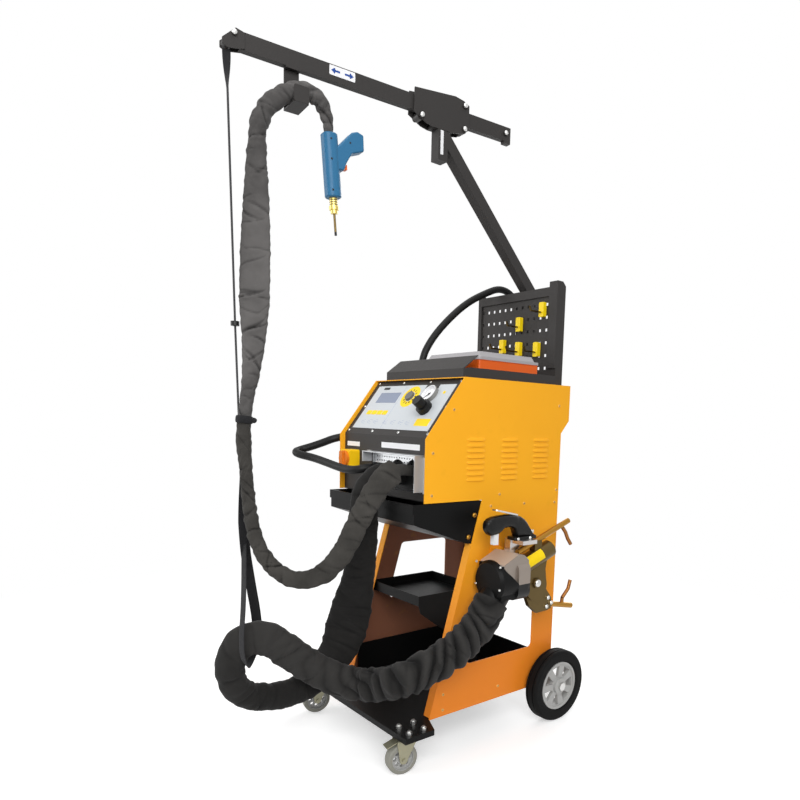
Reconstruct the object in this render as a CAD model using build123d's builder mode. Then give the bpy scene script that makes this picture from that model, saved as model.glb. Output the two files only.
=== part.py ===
"""Dent pulling welder: a spot welding power source on a trolley, with a boom for its gun's sleeve.

Millimetres, +Z up, the operator stands on the -Y side. Pieces are drawn about the machine's middle
plane (x), the front edge of its cabinet (y) and the floor (z). At the end they all move together, so
that the origin lies on the floor under the middle of the machine.
"""

from build123d import *
import os
from math import atan2, cos, hypot, pi, radians, sin, tan

# Sheet metal and fits
sheet = 2.0
seat_gap = 0.3
run_fit = 0.05
bolt_fit = 0.2

# Cabinet
cab_w = 390.0
base_z = 636.0
knee_z = 786.0
top_z = 936.0
brow_y = 113.0
rear_y = 495.0
waist_y = 465.0
step_low_z = top_z - 131.0
step_high_z = top_z - 96.0
front_inset = 15.0
desk_inset = 10.0
louvre_l = 58.0
louvre_h = 3.0
louvre_pitch = 14.1
louvre_rows = 8
louvre_mid_y = 272.0
louvre_step = 115.75
louvre_mid_z = 736.5
screw_r = 4.0
screw_h = 2.0

# Trolley
toe_y = 30.0
skirt_z = 99.0
leg_top_y = 181.0
flange_w = 22.0
post_w = 85.0
rail_w = 80.0
window_low_z = 217.0
window_left_z = 300.0
window_high_z = 464.0
window_r = 12.0
pan_z = 100.0
pan_rear_y = 430.0
pan_wall_h = 86.0
outrig_half = 246.0
outrig_front_y = -75.0
outrig_rear_y = 8.0
outrig_skirt = 12.0

# Rear wheels
wheel_r = 100.0
rim_r = 67.0
wheel_w = 46.0
wheel_gap = 6.0
axle_r = 8.0
axle_y = 454.0
ear_r = 26.0
nut_r = 12.0
nut_h = 8.0
hub_r = 22.0
web_w = 10.0
spokes = 7

# Castors
castor_x = outrig_half - 36.0
castor_y = -34.0
castor_r = 37.5
castor_w = 26.0
castor_trail = 25.0
castor_turn = radians(-101.0)
castor_plate_t = 3.0
castor_pitch = 42.0
castor_edge = 10
castor_plate_w = castor_pitch + 2 * castor_edge
castor_bolt_r = 4.0
king_r = 6.0
fork_top_r = 21.0
fork_t = 2.5
castor_pin_r = 4.0
pedal_u = 34.0
pedal_pin_r = 3.0

# Shelf and front tray
shelf_left_x = -191.0
shelf_right_x = 35.0
shelf_front_y = 110.0
shelf_rear_y = 330.0
shelf_z = 335.0
shelf_lip = 27.0
tray_front_y = -27.0
tray_front_z = 587.0
tray_back_y = 140.0
tray_back_z = 528.0

# Control panel
overlay_t = 0.8
overlay_left = -173.0
overlay_right = 167.0
overlay_low = 30.0
overlay_high = 174.0
lcd_x = -92.5
lcd_v = 133.0
lcd_w = 95.0
lcd_h = 34.0
dial_x = 6.0
dial_v = 136.0
dial_r = 14.0
dial_h = 6.0
gauge_x = 89.0
gauge_v = 140.0
gauge_r = 25.0
gauge_h = 11.0
reg_x = 106.0
reg_v = 96.0
reg_r = 20.0
reg_neck_r = 14.0
reg_h = 36.0
spindle_r = 3.0

# Switch and output bay on the upright front
switch_x = -141.0
switch_z = 722.0
switch_w = 48.0
switch_d = 30.0
switch_knob_r = 21.0
switch_knob_h = 14.0
bay_left = -55.0
bay_right = 162.0
bay_low = 656.0
bay_high = 742.0
bay_depth = 15.0
guard_d = 28.0

# Tray, box and pegboard on top
top_left = -140.0
top_right = 188.0
top_lip_z = top_z + 21.0
top_lip_y = 158.0
top_crest_z = top_z + 55.0
top_rear_y = 440.0
top_wall = 24.0
box_left = -61.0
box_right = 170.0
box_front_y = 178.0
box_rear_y = 394.0
box_h = 46.0
lid_h = 8.0
lid_crown = 14.0
peg_y = 466.0
peg_half = 162.0
peg_top_z = top_z + 269.0
peg_post_z = peg_top_z + 14.0
peg_post_d = 29.0
peg_frame = 5.0
peg_hole = 8.0
peg_pitch_x = 24.0
peg_pitch_z = 35.0
peg_cols = 12
peg_rows = 6
peg_mid_z = top_z + 137.0
hook_spots = (
    (110, top_z + 210),
    (20, top_z + 177),
    (-47, top_z + 118),
    (21, top_z + 107),
    (93, top_z + 102),
)
hook_w = 18.0
hook_h = 40.0
hook_d = 12.0

# Mast and boom
tube = 30.0
tube_t = 2.0
mast_y = 516.0
mast_foot_z = base_z + 4.0
arm_low_z = 1590.5
stub_top_z = arm_low_z - 28.5
stub_low_z = stub_top_z - 74.0
elbow_z = stub_top_z - 352.0
pivot_y = 169.0
swivel = radians(5.4)
swivel_pin_r = 10.0
arm_h = 36.0
arm_w = 16.0
arm_front = -505.0
arm_rear = 222.0
roller_r = 10.0
roller_w = 22.0
roller_pin_r = 4.0
roller_s = 64.0
cheek_t = 3.0
tip_s = -530.0
tip_z = arm_low_z + 5.5
tip_r = 10.0
cradle_s = -388.0
cradle_l = 34.0
cradle_drop = 89.0
cradle_out = 62.0

# Stud gun
stud_s = -299.0
stud_t = 22.0
stud_z = arm_low_z - 259.5
stud_lean = radians(4.9)
stud_w = 36.0
stud_l = 138.0
stud_d = 36.0
stud_trigger_h = 11.0
stud_trigger_w = 13.0
stud_trigger_travel = 5.0
collet_r = 11.0
rod_r = 2.8
rod_end = -82.0

# Spot gun
gun_x = 255.0
gun_cap_y = 154.0
gun_cap_l = 58.0
gun_cap_r = 52.0
gun_z = 443.0
gun_rear_y = 252.0
gun_half = 50.0
block_h = 46.0
block_half = 30.0
gun_pivot_y = 312.0
gun_pivot_z = 421.0
gun_pivot_r = 8.0
plate_t = 8.0
jaw_t = 12.0
ram_r = 23.0
arm_tube_r = 7.5
tip_pin_r = 5.0
gun_trigger_travel = 5.0

# Cords
gun_sleeve_r = 26.0
spot_sleeve_r = 34.0
strap_w = 25.0
strap_t = 2.0
earth_r = 10.5
hose_r = 10.0

half = cab_w / 2
inner = half - sheet
sides = (("right", 1), ("left", -1))


def side(x):
    """Upright plane across the machine, read as (y, z)."""
    return Plane(origin=(x, 0, 0), x_dir=(0, 1, 0), z_dir=(1, 0, 0))


def front(y):
    """Upright plane facing the operator, read as (x, z)."""
    return Plane(origin=(0, y, 0), x_dir=(1, 0, 0), z_dir=(0, -1, 0))


def level(z):
    """Level plane, read as (x, y)."""
    return Plane.XY.offset(z)


def bent(points, left, right=0.0):
    """Outline of a sheet or bar bent along points, reaching so far to each side of them."""
    ways = [atan2(b[1] - a[1], b[0] - a[0]) for a, b in zip(points, points[1:])]
    ahead = []
    back = []
    for i, (u, v) in enumerate(points):
        before = ways[max(i - 1, 0)]
        after = ways[min(i, len(ways) - 1)]
        mid = (before + after) / 2
        mitre = cos((after - before) / 2)
        ahead.append((u + right / mitre * sin(mid), v - right / mitre * cos(mid)))
        back.append((u - left / mitre * sin(mid), v + left / mitre * cos(mid)))
    return ahead + back[::-1]


def lean(z):
    """Depth of the trolley's slanted front edge at height z."""
    return toe_y + (leg_top_y - toe_y) * (z - skirt_z) / (base_z - skirt_z)


# Slanted desk of the control panel: (x, v) with v running up the slope
slope_l = hypot(brow_y, top_z - knee_z)
slope_y = brow_y / slope_l
slope_z = (top_z - knee_z) / slope_l
desk_origin = (0, desk_inset * slope_z, knee_z - desk_inset * slope_y)
desk = Plane(origin=desk_origin, x_dir=(1, 0, 0), z_dir=(0, -slope_z, slope_y))
desk_knee_z = desk_origin[2] + (front_inset - desk_origin[1]) * slope_z / slope_y
desk_brow_z = top_z - sheet
desk_brow_y = desk_origin[1] + (desk_brow_z - desk_origin[2]) * slope_y / slope_z

# Cabinet and trolley side panels
cab_side = [
    (0, base_z),
    (0, knee_z),
    (brow_y, top_z),
    (rear_y, top_z),
    (rear_y, step_high_z),
    (waist_y, step_low_z),
    (waist_y, base_z),
]
trolley_side = [(toe_y, skirt_z), (leg_top_y, base_z), (waist_y, base_z), (waist_y, skirt_z)]
windows = {
    tag: [
        (lean(low_z) + rail_w, low_z),
        (lean(window_high_z) + rail_w, window_high_z),
        (waist_y - post_w, window_high_z),
        (waist_y - post_w, low_z),
    ]
    for tag, low_z in (("right", window_low_z), ("left", window_left_z))
}
earth_boss_y = 196.0
earth_boss_z = 780.0
gun_hanger_y = gun_rear_y - 20.0
gun_hanger_z = gun_z + 33.0
gun_hanger_w = 36.0
gun_hanger_h = 70.0

flange_low = pan_z + 2 * sheet
flange_high = base_z - sheet
cabinet_sides = {}
trolley_sides = {}
for tag, sign in sides:
    with BuildPart() as cabinet_side:
        with BuildSketch(side(sign * inner)):
            Polygon(*cab_side, align=None)
            with Locations((louvre_mid_y, louvre_mid_z)):
                with GridLocations(louvre_step, louvre_pitch, 3, louvre_rows):
                    SlotOverall(louvre_l, louvre_h, mode=Mode.SUBTRACT)
        extrude(amount=sign * sheet)
        if tag == "left":
            with BuildSketch(side(-half)):
                with Locations((earth_boss_y, earth_boss_z)):
                    Rectangle(24, 36)
            extrude(amount=-2 * earth_r - 6)
    cabinet_sides[tag] = cabinet_side

    with BuildPart() as trolley_panel:
        with BuildSketch(side(sign * inner)):
            Polygon(*trolley_side, align=None)
            with Locations((axle_y - ear_r / 2, wheel_r)):
                Circle(ear_r)
            with Locations((axle_y, wheel_r)):
                Circle(axle_r + bolt_fit, mode=Mode.SUBTRACT)
        extrude(amount=sign * sheet)
        with BuildSketch(side(sign * inner)) as window_face:
            Polygon(*windows[tag], align=None)
            fillet(window_face.vertices(), window_r)
        extrude(amount=sign * sheet, mode=Mode.SUBTRACT)
        with BuildSketch(side(sign * inner)):
            Polygon(*bent([(lean(flange_high), flange_high), (lean(flange_low), flange_low)], sheet), align=None)
        extrude(amount=-sign * flange_w)
        with BuildSketch(side(sign * inner)):
            Polygon(*bent([(waist_y, 3 * wheel_r), (waist_y, base_z)], sheet), align=None)
        extrude(amount=-sign * flange_w)
        if tag == "right":
            with BuildSketch(side(half)):
                with Locations((gun_hanger_y, gun_hanger_z)):
                    Rectangle(gun_hanger_w, gun_hanger_h)
            extrude(amount=gun_x - gun_half - half)
    trolley_sides[tag] = trolley_panel

# Base pan with the outrigger that carries the castors
outrigger = [
    (-inner, toe_y - sheet),
    (-half - 5, toe_y - sheet),
    (-outrig_half, outrig_rear_y),
    (-outrig_half, outrig_front_y),
    (outrig_half, outrig_front_y),
    (outrig_half, outrig_rear_y),
    (half + 5, toe_y - sheet),
    (inner, toe_y - sheet),
]
castor_spots = [(sign * castor_x, castor_y) for tag, sign in sides]
with BuildPart() as base_pan:
    with BuildSketch(level(pan_z)):
        Polygon(*outrigger, align=None)
        Polygon(
            (-inner, toe_y - sheet),
            (inner, toe_y - sheet),
            (inner, pan_rear_y),
            (-inner, pan_rear_y),
            align=None,
        )
        for spot in castor_spots:
            with Locations(spot):
                with GridLocations(castor_pitch, castor_pitch, 2, 2):
                    Circle(castor_bolt_r + bolt_fit, mode=Mode.SUBTRACT)
    extrude(amount=sheet)
    with BuildSketch(level(pan_z - outrig_skirt)):
        Polygon(*outrigger, align=None)
        offset(amount=-sheet, mode=Mode.SUBTRACT)
    extrude(amount=outrig_skirt)
    with BuildSketch(level(pan_z + sheet)):
        for sign in (1, -1):
            with Locations((sign * (inner - flange_w - sheet), (toe_y + flange_w + pan_rear_y) / 2)):
                Rectangle(sheet, pan_rear_y - toe_y - flange_w)
        with Locations((0, pan_rear_y - sheet / 2)):
            Rectangle(2 * (inner - flange_w) - sheet, sheet)
    extrude(amount=pan_wall_h)

# Castors
plate_low_z = pan_z - castor_plate_t
fork_high_z = plate_low_z - seat_gap
fork_low_z = fork_high_z - 4
king_head_z = fork_low_z - seat_gap
fork_half = castor_w / 2 + 1.5
pedal_z = 2 * castor_r + pedal_pin_r + 2
ankle_z = fork_low_z - 8
castor_bolt_head = 4.0
with BuildPart() as castor_plates:
    for spot in castor_spots:
        with BuildSketch(level(plate_low_z)):
            with Locations(spot):
                RectangleRounded(castor_plate_w, castor_plate_w, 8)
                with GridLocations(castor_pitch, castor_pitch, 2, 2):
                    Circle(castor_bolt_r + bolt_fit, mode=Mode.SUBTRACT)
        extrude(amount=castor_plate_t)
        with BuildSketch(level(king_head_z)):
            with Locations(spot):
                Circle(king_r)
        extrude(amount=plate_low_z - king_head_z)
        with BuildSketch(level(king_head_z)):
            with Locations(spot):
                Circle(king_r + 3)
        extrude(amount=-4)

with BuildPart() as castor_bolts:
    for spot in castor_spots:
        with BuildSketch(level(plate_low_z - castor_bolt_head)):
            with Locations(spot):
                with GridLocations(castor_pitch, castor_pitch, 2, 2):
                    RegularPolygon(castor_bolt_r * 1.5, 6)
        extrude(amount=castor_bolt_head)
        with BuildSketch(level(plate_low_z)):
            with Locations(spot):
                with GridLocations(castor_pitch, castor_pitch, 2, 2):
                    Circle(castor_bolt_r)
        extrude(amount=castor_plate_t + sheet + 10)
        with BuildSketch(level(pan_z + sheet)):
            with Locations(spot):
                with GridLocations(castor_pitch, castor_pitch, 2, 2):
                    RegularPolygon(castor_bolt_r * 1.8, 6)
        extrude(amount=7)

castor_forks = {}
castor_wheels = {}
castor_pedals = {}
for tag, sign in sides:
    origin = (sign * castor_x, castor_y, 0)
    ahead = (cos(castor_turn), sin(castor_turn), 0)
    across = (sin(castor_turn), -cos(castor_turn), 0)
    upright = Plane(origin=origin, x_dir=ahead, z_dir=across)
    flat = Plane(origin=origin, x_dir=ahead, z_dir=(0, 0, 1))
    leg = [
        (-fork_top_r + 5, fork_high_z),
        (fork_top_r - 3, fork_high_z),
        (fork_top_r, ankle_z),
        (pedal_u + 7, pedal_z + 5),
        (pedal_u + 7, pedal_z - 6),
        (castor_trail + 10, castor_r),
        (castor_trail - 10, castor_r),
    ]
    with BuildPart() as castor_fork:
        with BuildSketch(upright):
            Polygon(*leg, align=None)
            with Locations((castor_trail, castor_r)):
                Circle(10)
            with Locations((pedal_u, pedal_z)):
                Circle(pedal_pin_r + run_fit, mode=Mode.SUBTRACT)
        extrude(amount=fork_half + fork_t, both=True)
        with BuildSketch(upright):
            Rectangle(8 * castor_r, 2 * fork_low_z)
        extrude(amount=fork_half, both=True, mode=Mode.SUBTRACT)
        with BuildSketch(flat.offset(fork_low_z)):
            Circle(fork_top_r)
            Circle(king_r + run_fit, mode=Mode.SUBTRACT)
        extrude(amount=fork_high_z - fork_low_z)
        with BuildSketch(flat.offset(fork_low_z)):
            Circle(king_r + run_fit)
        extrude(amount=fork_high_z - fork_low_z, mode=Mode.SUBTRACT)
        with BuildSketch(upright):
            with Locations((castor_trail, castor_r)):
                Circle(castor_pin_r)
        extrude(amount=fork_half + fork_t + 3, both=True)
    castor_forks[tag] = castor_fork

    with BuildPart() as castor_wheel:
        with BuildSketch(upright):
            with Locations((castor_trail, castor_r)):
                Circle(castor_r)
        extrude(amount=castor_w / 2, both=True)
        fillet(castor_wheel.edges().filter_by(GeomType.CIRCLE), 5)
        with BuildSketch(upright):
            with Locations((castor_trail, castor_r)):
                Circle(castor_r * 0.7)
                Circle(castor_pin_r + 5, mode=Mode.SUBTRACT)
        extrude(amount=castor_w / 2, both=True, mode=Mode.SUBTRACT)
        with BuildSketch(upright):
            with Locations((castor_trail, castor_r)):
                Circle(castor_r * 0.7 + 1)
                with PolarLocations(castor_r * 0.47, 8):
                    Circle(castor_r * 0.13, mode=Mode.SUBTRACT)
        extrude(amount=castor_w / 6, both=True)
        with BuildSketch(upright):
            with Locations((castor_trail, castor_r)):
                Circle(castor_pin_r + run_fit)
        extrude(amount=castor_w, both=True, mode=Mode.SUBTRACT)
    castor_wheels[tag] = castor_wheel

    with BuildPart() as castor_pedal:
        with BuildSketch(upright):
            with Locations((pedal_u, pedal_z)):
                Circle(pedal_pin_r)
        extrude(amount=fork_half + fork_t + 1, both=True)
        with BuildSketch(upright):
            Polygon(
                *bent([(pedal_u + 32, pedal_z - 9), (pedal_u + 8, pedal_z), (pedal_u - 4, pedal_z)], 0, 2.5),
                align=None,
            )
        extrude(amount=fork_half - 2, both=True)
    castor_pedals[tag] = castor_pedal

# Rear axle and wheels
wheel_in_x = half + wheel_gap
wheel_out_x = wheel_in_x + wheel_w
with BuildPart() as rear_axle:
    with BuildSketch(side(-wheel_out_x - nut_h)):
        with Locations((axle_y, wheel_r)):
            Circle(axle_r)
    extrude(amount=2 * (wheel_out_x + nut_h))
    for sign in (1, -1):
        with BuildSketch(side(sign * (wheel_out_x + seat_gap))):
            with Locations((axle_y, wheel_r)):
                RegularPolygon(nut_r, 6)
        extrude(amount=sign * (nut_h - seat_gap))
        with BuildSketch(side(sign * half)):
            with Locations((axle_y, wheel_r)):
                Circle(nut_r)
        extrude(amount=sign * (wheel_gap - seat_gap))

spoke_gap = [(hub_r + 5, -4), (rim_r - 12, -15), (rim_r - 12, 15), (hub_r + 5, 4)]
rear_hubs = {}
rear_tyres = {}
for tag, sign in sides:
    mid_x = sign * (wheel_in_x + wheel_w / 2)
    with BuildPart() as rear_hub:
        with BuildSketch(side(mid_x)):
            with Locations((axle_y, wheel_r)):
                Circle(hub_r)
        extrude(amount=wheel_w / 2, both=True)
        with BuildSketch(side(mid_x)):
            with Locations((axle_y, wheel_r)):
                Circle(rim_r - run_fit)
                Circle(rim_r - 7, mode=Mode.SUBTRACT)
        extrude(amount=wheel_w / 2 - 5, both=True)
        with BuildSketch(side(mid_x + sign * (wheel_w / 2 - 8 - web_w))):
            with Locations((axle_y, wheel_r)):
                Circle(rim_r - 6)
                with PolarLocations(0, spokes):
                    Polygon(*spoke_gap, align=None, mode=Mode.SUBTRACT)
        extrude(amount=sign * web_w)
        with BuildSketch(side(mid_x)):
            with Locations((axle_y, wheel_r)):
                Circle(axle_r + run_fit)
        extrude(amount=wheel_w, both=True, mode=Mode.SUBTRACT)
    rear_hubs[tag] = rear_hub

    with BuildPart() as rear_tyre:
        with BuildSketch(Plane(origin=(mid_x, axle_y, wheel_r), x_dir=(1, 0, 0), z_dir=(0, -1, 0))) as section:
            with Locations((0, (rim_r + wheel_r) / 2)):
                Rectangle(wheel_w - 4, wheel_r - rim_r)
            fillet(section.vertices().group_by(Axis.Z)[-1], 9)
            with Locations((-9, wheel_r), (9, wheel_r)):
                Rectangle(3.5, 6, mode=Mode.SUBTRACT)
        revolve(axis=Axis((mid_x, axle_y, wheel_r), (1, 0, 0)))
    rear_tyres[tag] = rear_tyre

# Tool shelf, hung from the left side panel and carried by a gusset on the right
shelf_half = (shelf_right_x - shelf_left_x) / 2
with BuildPart() as tool_shelf:
    with BuildSketch(front(shelf_rear_y)):
        Polygon(
            *bent(
                [
                    (shelf_left_x - sheet, shelf_z + shelf_lip),
                    (shelf_left_x - sheet, shelf_z),
                    (shelf_right_x, shelf_z),
                    (shelf_right_x, shelf_z + shelf_lip),
                ],
                sheet,
            ),
            align=None,
        )
    extrude(amount=shelf_rear_y - shelf_front_y)
    for lip_y in (shelf_front_y + sheet, shelf_rear_y):
        with BuildSketch(front(lip_y)):
            with Locations(((shelf_left_x + shelf_right_x) / 2, shelf_z + shelf_lip / 2)):
                Rectangle(2 * shelf_half, shelf_lip)
        extrude(amount=sheet)
    with BuildSketch(side(shelf_right_x)):
        Polygon(
            (shelf_front_y, shelf_z + sheet),
            (shelf_front_y + 8, shelf_z - 22),
            (shelf_front_y + 60, shelf_z - 60),
            (shelf_rear_y, pan_z + 60),
            (shelf_rear_y, shelf_z + sheet),
            align=None,
        )
    extrude(amount=-sheet)
    with BuildSketch(side(shelf_right_x - sheet)):
        Polygon(
            *bent([(shelf_rear_y, shelf_z + sheet), (shelf_rear_y, pan_z + sheet)], 0, sheet),
            align=None,
        )
    extrude(amount=-4 * flange_w)

# Front tray under the cabinet
with BuildPart() as front_tray:
    with BuildSketch(side(-inner + sheet)):
        Polygon(
            *bent(
                [
                    (tray_front_y, base_z - sheet),
                    (tray_front_y, tray_front_z),
                    (tray_back_y, tray_back_z),
                    (lean(tray_back_z), tray_back_z),
                    (lean(base_z - sheet), base_z - sheet),
                ],
                sheet,
            ),
            align=None,
        )
    extrude(amount=2 * (inner - sheet))
    tray_end = [
        (tray_front_y, base_z - sheet),
        (tray_front_y, tray_front_z),
        (tray_back_y, tray_back_z),
        (lean(tray_back_z), tray_back_z),
        (lean(base_z - sheet), base_z - sheet),
        (0, base_z - sheet),
    ]
    for end_x in (-inner, inner - sheet):
        with BuildSketch(side(end_x)):
            Polygon(*tray_end, align=None)
        extrude(amount=sheet)
    with BuildSketch(front(tray_front_y)):
        with Locations((0, base_z - sheet - 11)):
            Rectangle(2 * inner, 22)
    extrude(amount=4)

# Cabinet sheets between the side panels
fan_x = 0.0
fan_z = 720.0
fan_pin_r = 4.0
fan_r = 52.0
hose_x = -84.0
hose_y = 188.0
hose_end = (-48.0, 526.0, top_z - 31.0)
with BuildPart() as cabinet_top:
    with BuildSketch(level(top_z - sheet)):
        Polygon((-inner, brow_y), (inner, brow_y), (inner, rear_y), (-inner, rear_y), align=None)
    extrude(amount=sheet)

with BuildPart() as cabinet_rear:
    with BuildSketch(side(-inner)):
        Polygon(
            *bent(
                [
                    (waist_y, base_z + sheet),
                    (waist_y, step_low_z),
                    (rear_y, step_high_z),
                    (rear_y, top_z - sheet),
                ],
                sheet,
            ),
            align=None,
        )
    extrude(amount=2 * inner)
    with BuildSketch(front(waist_y)):
        with Locations((fan_x, fan_z)):
            with PolarLocations(fan_r * 0.65, 10):
                SlotOverall(fan_r * 0.6, 7, mode=Mode.ADD)
    extrude(amount=sheet, mode=Mode.SUBTRACT)
    with BuildSketch(front(waist_y - sheet)):
        with Locations((fan_x, fan_z)):
            Circle(fan_pin_r)
    extrude(amount=30)
    with BuildSketch(front(rear_y)):
        with Locations((hose_end[0], hose_end[2] - 14)):
            Rectangle(28, 28)
    extrude(amount=rear_y - hose_end[1] - hose_r - 4)

with BuildPart() as cabinet_floor:
    with BuildSketch(level(base_z)):
        Polygon(
            (-inner, front_inset),
            (inner, front_inset),
            (inner, waist_y),
            (-inner, waist_y),
            align=None,
        )
    extrude(amount=sheet)

with BuildPart() as front_panel:
    with BuildSketch(side(-inner)):
        Polygon(
            *bent(
                [
                    (desk_brow_y, desk_brow_z),
                    (front_inset, desk_knee_z),
                    (front_inset, base_z + sheet),
                ],
                sheet,
            ),
            align=None,
        )
    extrude(amount=2 * inner)
    with BuildSketch(level(desk_brow_z)):
        Polygon((-inner, 0), (inner, 0), (inner, rear_y), (-inner, rear_y), align=None)
    extrude(amount=20, mode=Mode.SUBTRACT)
    with BuildSketch(front(front_inset + sheet)):
        with Locations(((bay_left + bay_right) / 2, (bay_low + bay_high) / 2)):
            RectangleRounded(bay_right - bay_left, bay_high - bay_low, 4)
        with Locations((switch_x, switch_z)):
            Circle(spindle_r + 4)
    extrude(amount=2 * sheet, mode=Mode.SUBTRACT)
    with BuildSketch(desk.offset(-2 * sheet)):
        with Locations((dial_x, dial_v), (reg_x, reg_v)):
            Circle(spindle_r + run_fit)
    extrude(amount=3 * sheet, mode=Mode.SUBTRACT)

# Membrane overlay with its openings, and what stands on the desk
with BuildPart() as control_overlay:
    with BuildSketch(desk):
        Polygon(
            (overlay_left, overlay_low),
            (overlay_right, overlay_low),
            (overlay_right, overlay_high),
            (overlay_left, overlay_high),
            align=None,
        )
        with Locations((lcd_x, lcd_v)):
            Rectangle(lcd_w + 2 * seat_gap, lcd_h + 2 * seat_gap, mode=Mode.SUBTRACT)
        with Locations((dial_x, dial_v), (reg_x, reg_v)):
            Circle(spindle_r + 1, mode=Mode.SUBTRACT)
        with Locations((gauge_x, gauge_v)):
            Circle(gauge_r + seat_gap, mode=Mode.SUBTRACT)
    extrude(amount=overlay_t)

with BuildPart() as display:
    with BuildSketch(desk):
        with Locations((lcd_x, lcd_v)):
            Rectangle(lcd_w, lcd_h)
    extrude(amount=overlay_t)

needle_h = gauge_h - 4
with BuildPart() as gauge:
    with BuildSketch(desk):
        with Locations((gauge_x, gauge_v)):
            Circle(gauge_r)
    extrude(amount=gauge_h)
    with BuildSketch(desk.offset(gauge_h)):
        with Locations((gauge_x, gauge_v)):
            Circle(gauge_r - 3)
    extrude(amount=-6, mode=Mode.SUBTRACT)
    with BuildSketch(desk.offset(gauge_h - 6)):
        with Locations((gauge_x, gauge_v)):
            Circle(1.5 + run_fit)
    extrude(amount=-3, mode=Mode.SUBTRACT)

with BuildPart() as gauge_needle:
    with BuildSketch(desk.offset(gauge_h - 9 + seat_gap)):
        with Locations((gauge_x, gauge_v)):
            Circle(1.5)
    extrude(amount=needle_h - gauge_h + 9 + 1)
    with BuildSketch(desk.offset(needle_h - 1)):
        Polygon(
            (gauge_x - 1.5, gauge_v),
            (gauge_x - gauge_r * 0.5, gauge_v - gauge_r * 0.52),
            (gauge_x + 1.5, gauge_v - 1.5),
            (gauge_x + 4, gauge_v + 4),
            align=None,
        )
    extrude(amount=1)

with BuildPart() as mode_knob:
    with BuildSketch(desk.offset(overlay_t + seat_gap)):
        with Locations((dial_x, dial_v)):
            Circle(dial_r)
            with PolarLocations(dial_r + 1.5, 12):
                Circle(2.5, mode=Mode.SUBTRACT)
    extrude(amount=dial_h)
    with BuildSketch(desk.offset(overlay_t + seat_gap)):
        with Locations((dial_x, dial_v)):
            Circle(spindle_r)
    extrude(amount=-overlay_t - seat_gap - 4 * sheet)

with BuildPart() as regulator_knob:
    with BuildSketch(desk.offset(overlay_t + seat_gap)):
        with Locations((reg_x, reg_v)):
            Circle(reg_r)
            with PolarLocations(reg_r + 1.5, 20):
                Circle(2.2, mode=Mode.SUBTRACT)
    extrude(amount=reg_h * 0.4)
    with BuildSketch(desk.offset(overlay_t + seat_gap + reg_h * 0.4)):
        with Locations((reg_x, reg_v)):
            Circle(reg_neck_r)
    extrude(amount=reg_h * 0.6)
    with BuildSketch(desk.offset(overlay_t + seat_gap)):
        with Locations((reg_x, reg_v)):
            Circle(spindle_r)
    extrude(amount=-overlay_t - seat_gap - 4 * sheet)

# Main switch
with BuildPart() as switch_body:
    with BuildSketch(front(front_inset)):
        with Locations((switch_x, switch_z)):
            RectangleRounded(switch_w, switch_w, 5)
    extrude(amount=switch_d)
    with BuildSketch(front(front_inset)):
        with Locations((switch_x, switch_z)):
            Circle(spindle_r + run_fit)
    extrude(amount=switch_d, mode=Mode.SUBTRACT)

with BuildPart() as switch_knob:
    with BuildSketch(front(front_inset - switch_d - seat_gap)):
        with Locations((switch_x, switch_z)):
            Circle(switch_knob_r)
    extrude(amount=switch_knob_h / 2)
    with BuildSketch(front(front_inset - switch_d - seat_gap)):
        with Locations((switch_x, switch_z)):
            RectangleRounded(switch_knob_r * 0.7, switch_knob_r * 1.9, 4)
    extrude(amount=switch_knob_h)
    with BuildSketch(front(front_inset - switch_d - seat_gap)):
        with Locations((switch_x, switch_z)):
            Circle(spindle_r)
    extrude(amount=-switch_d)

# Output bay: insulating block behind the opening, bus bar, and the guard over it
bay_y = front_inset + bay_depth
bay_mid = (bay_left + bay_right) / 2
bay_exits = ((120, 706, gun_sleeve_r), (58, 696, spot_sleeve_r), (-28, 705, earth_r))
with BuildPart() as output_terminals:
    with BuildSketch(front(front_inset + sheet)):
        with Locations((bay_mid, (bay_low + bay_high) / 2)):
            Rectangle(bay_right - bay_left + 16, bay_high - bay_low + 12)
    extrude(amount=-2 * bay_depth)
    with BuildSketch(front(front_inset + sheet)):
        with Locations((bay_mid, (bay_low + bay_high) / 2)):
            Rectangle(bay_right - bay_left, bay_high - bay_low)
    extrude(amount=sheet - bay_depth, mode=Mode.SUBTRACT)
    with BuildSketch(front(bay_y)):
        with Locations((bay_mid - 12, bay_high - 12)):
            Rectangle(bay_right - bay_left - 24, 24)
            with GridLocations(11, 10, 15, 2):
                Circle(2.2, mode=Mode.SUBTRACT)
        for x, z, r in bay_exits:
            with Locations((x, z)):
                Circle(r + 1.5, mode=Mode.SUBTRACT)
    extrude(amount=bay_depth - 4)

with BuildPart() as terminal_guard:
    with BuildSketch(front(front_inset)):
        with Locations(((bay_left + bay_right + 6) / 2, bay_high + 4)):
            Rectangle(bay_right - bay_left + 14, sheet)
        with Locations((bay_right + 8, (bay_low + bay_high) / 2 + 4)):
            Rectangle(sheet, bay_high - bay_low)
        with Locations((bay_left - 2, bay_high - 9)):
            Rectangle(sheet, 26)
    extrude(amount=guard_d)
    with BuildSketch(front(front_inset)):
        with Locations((bay_left - 11, bay_high - 6)):
            Rectangle(18, 24)
        with Locations((bay_right + 14, (bay_low + bay_high) / 2)):
            Rectangle(12, bay_high - bay_low)
    extrude(amount=sheet)

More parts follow.
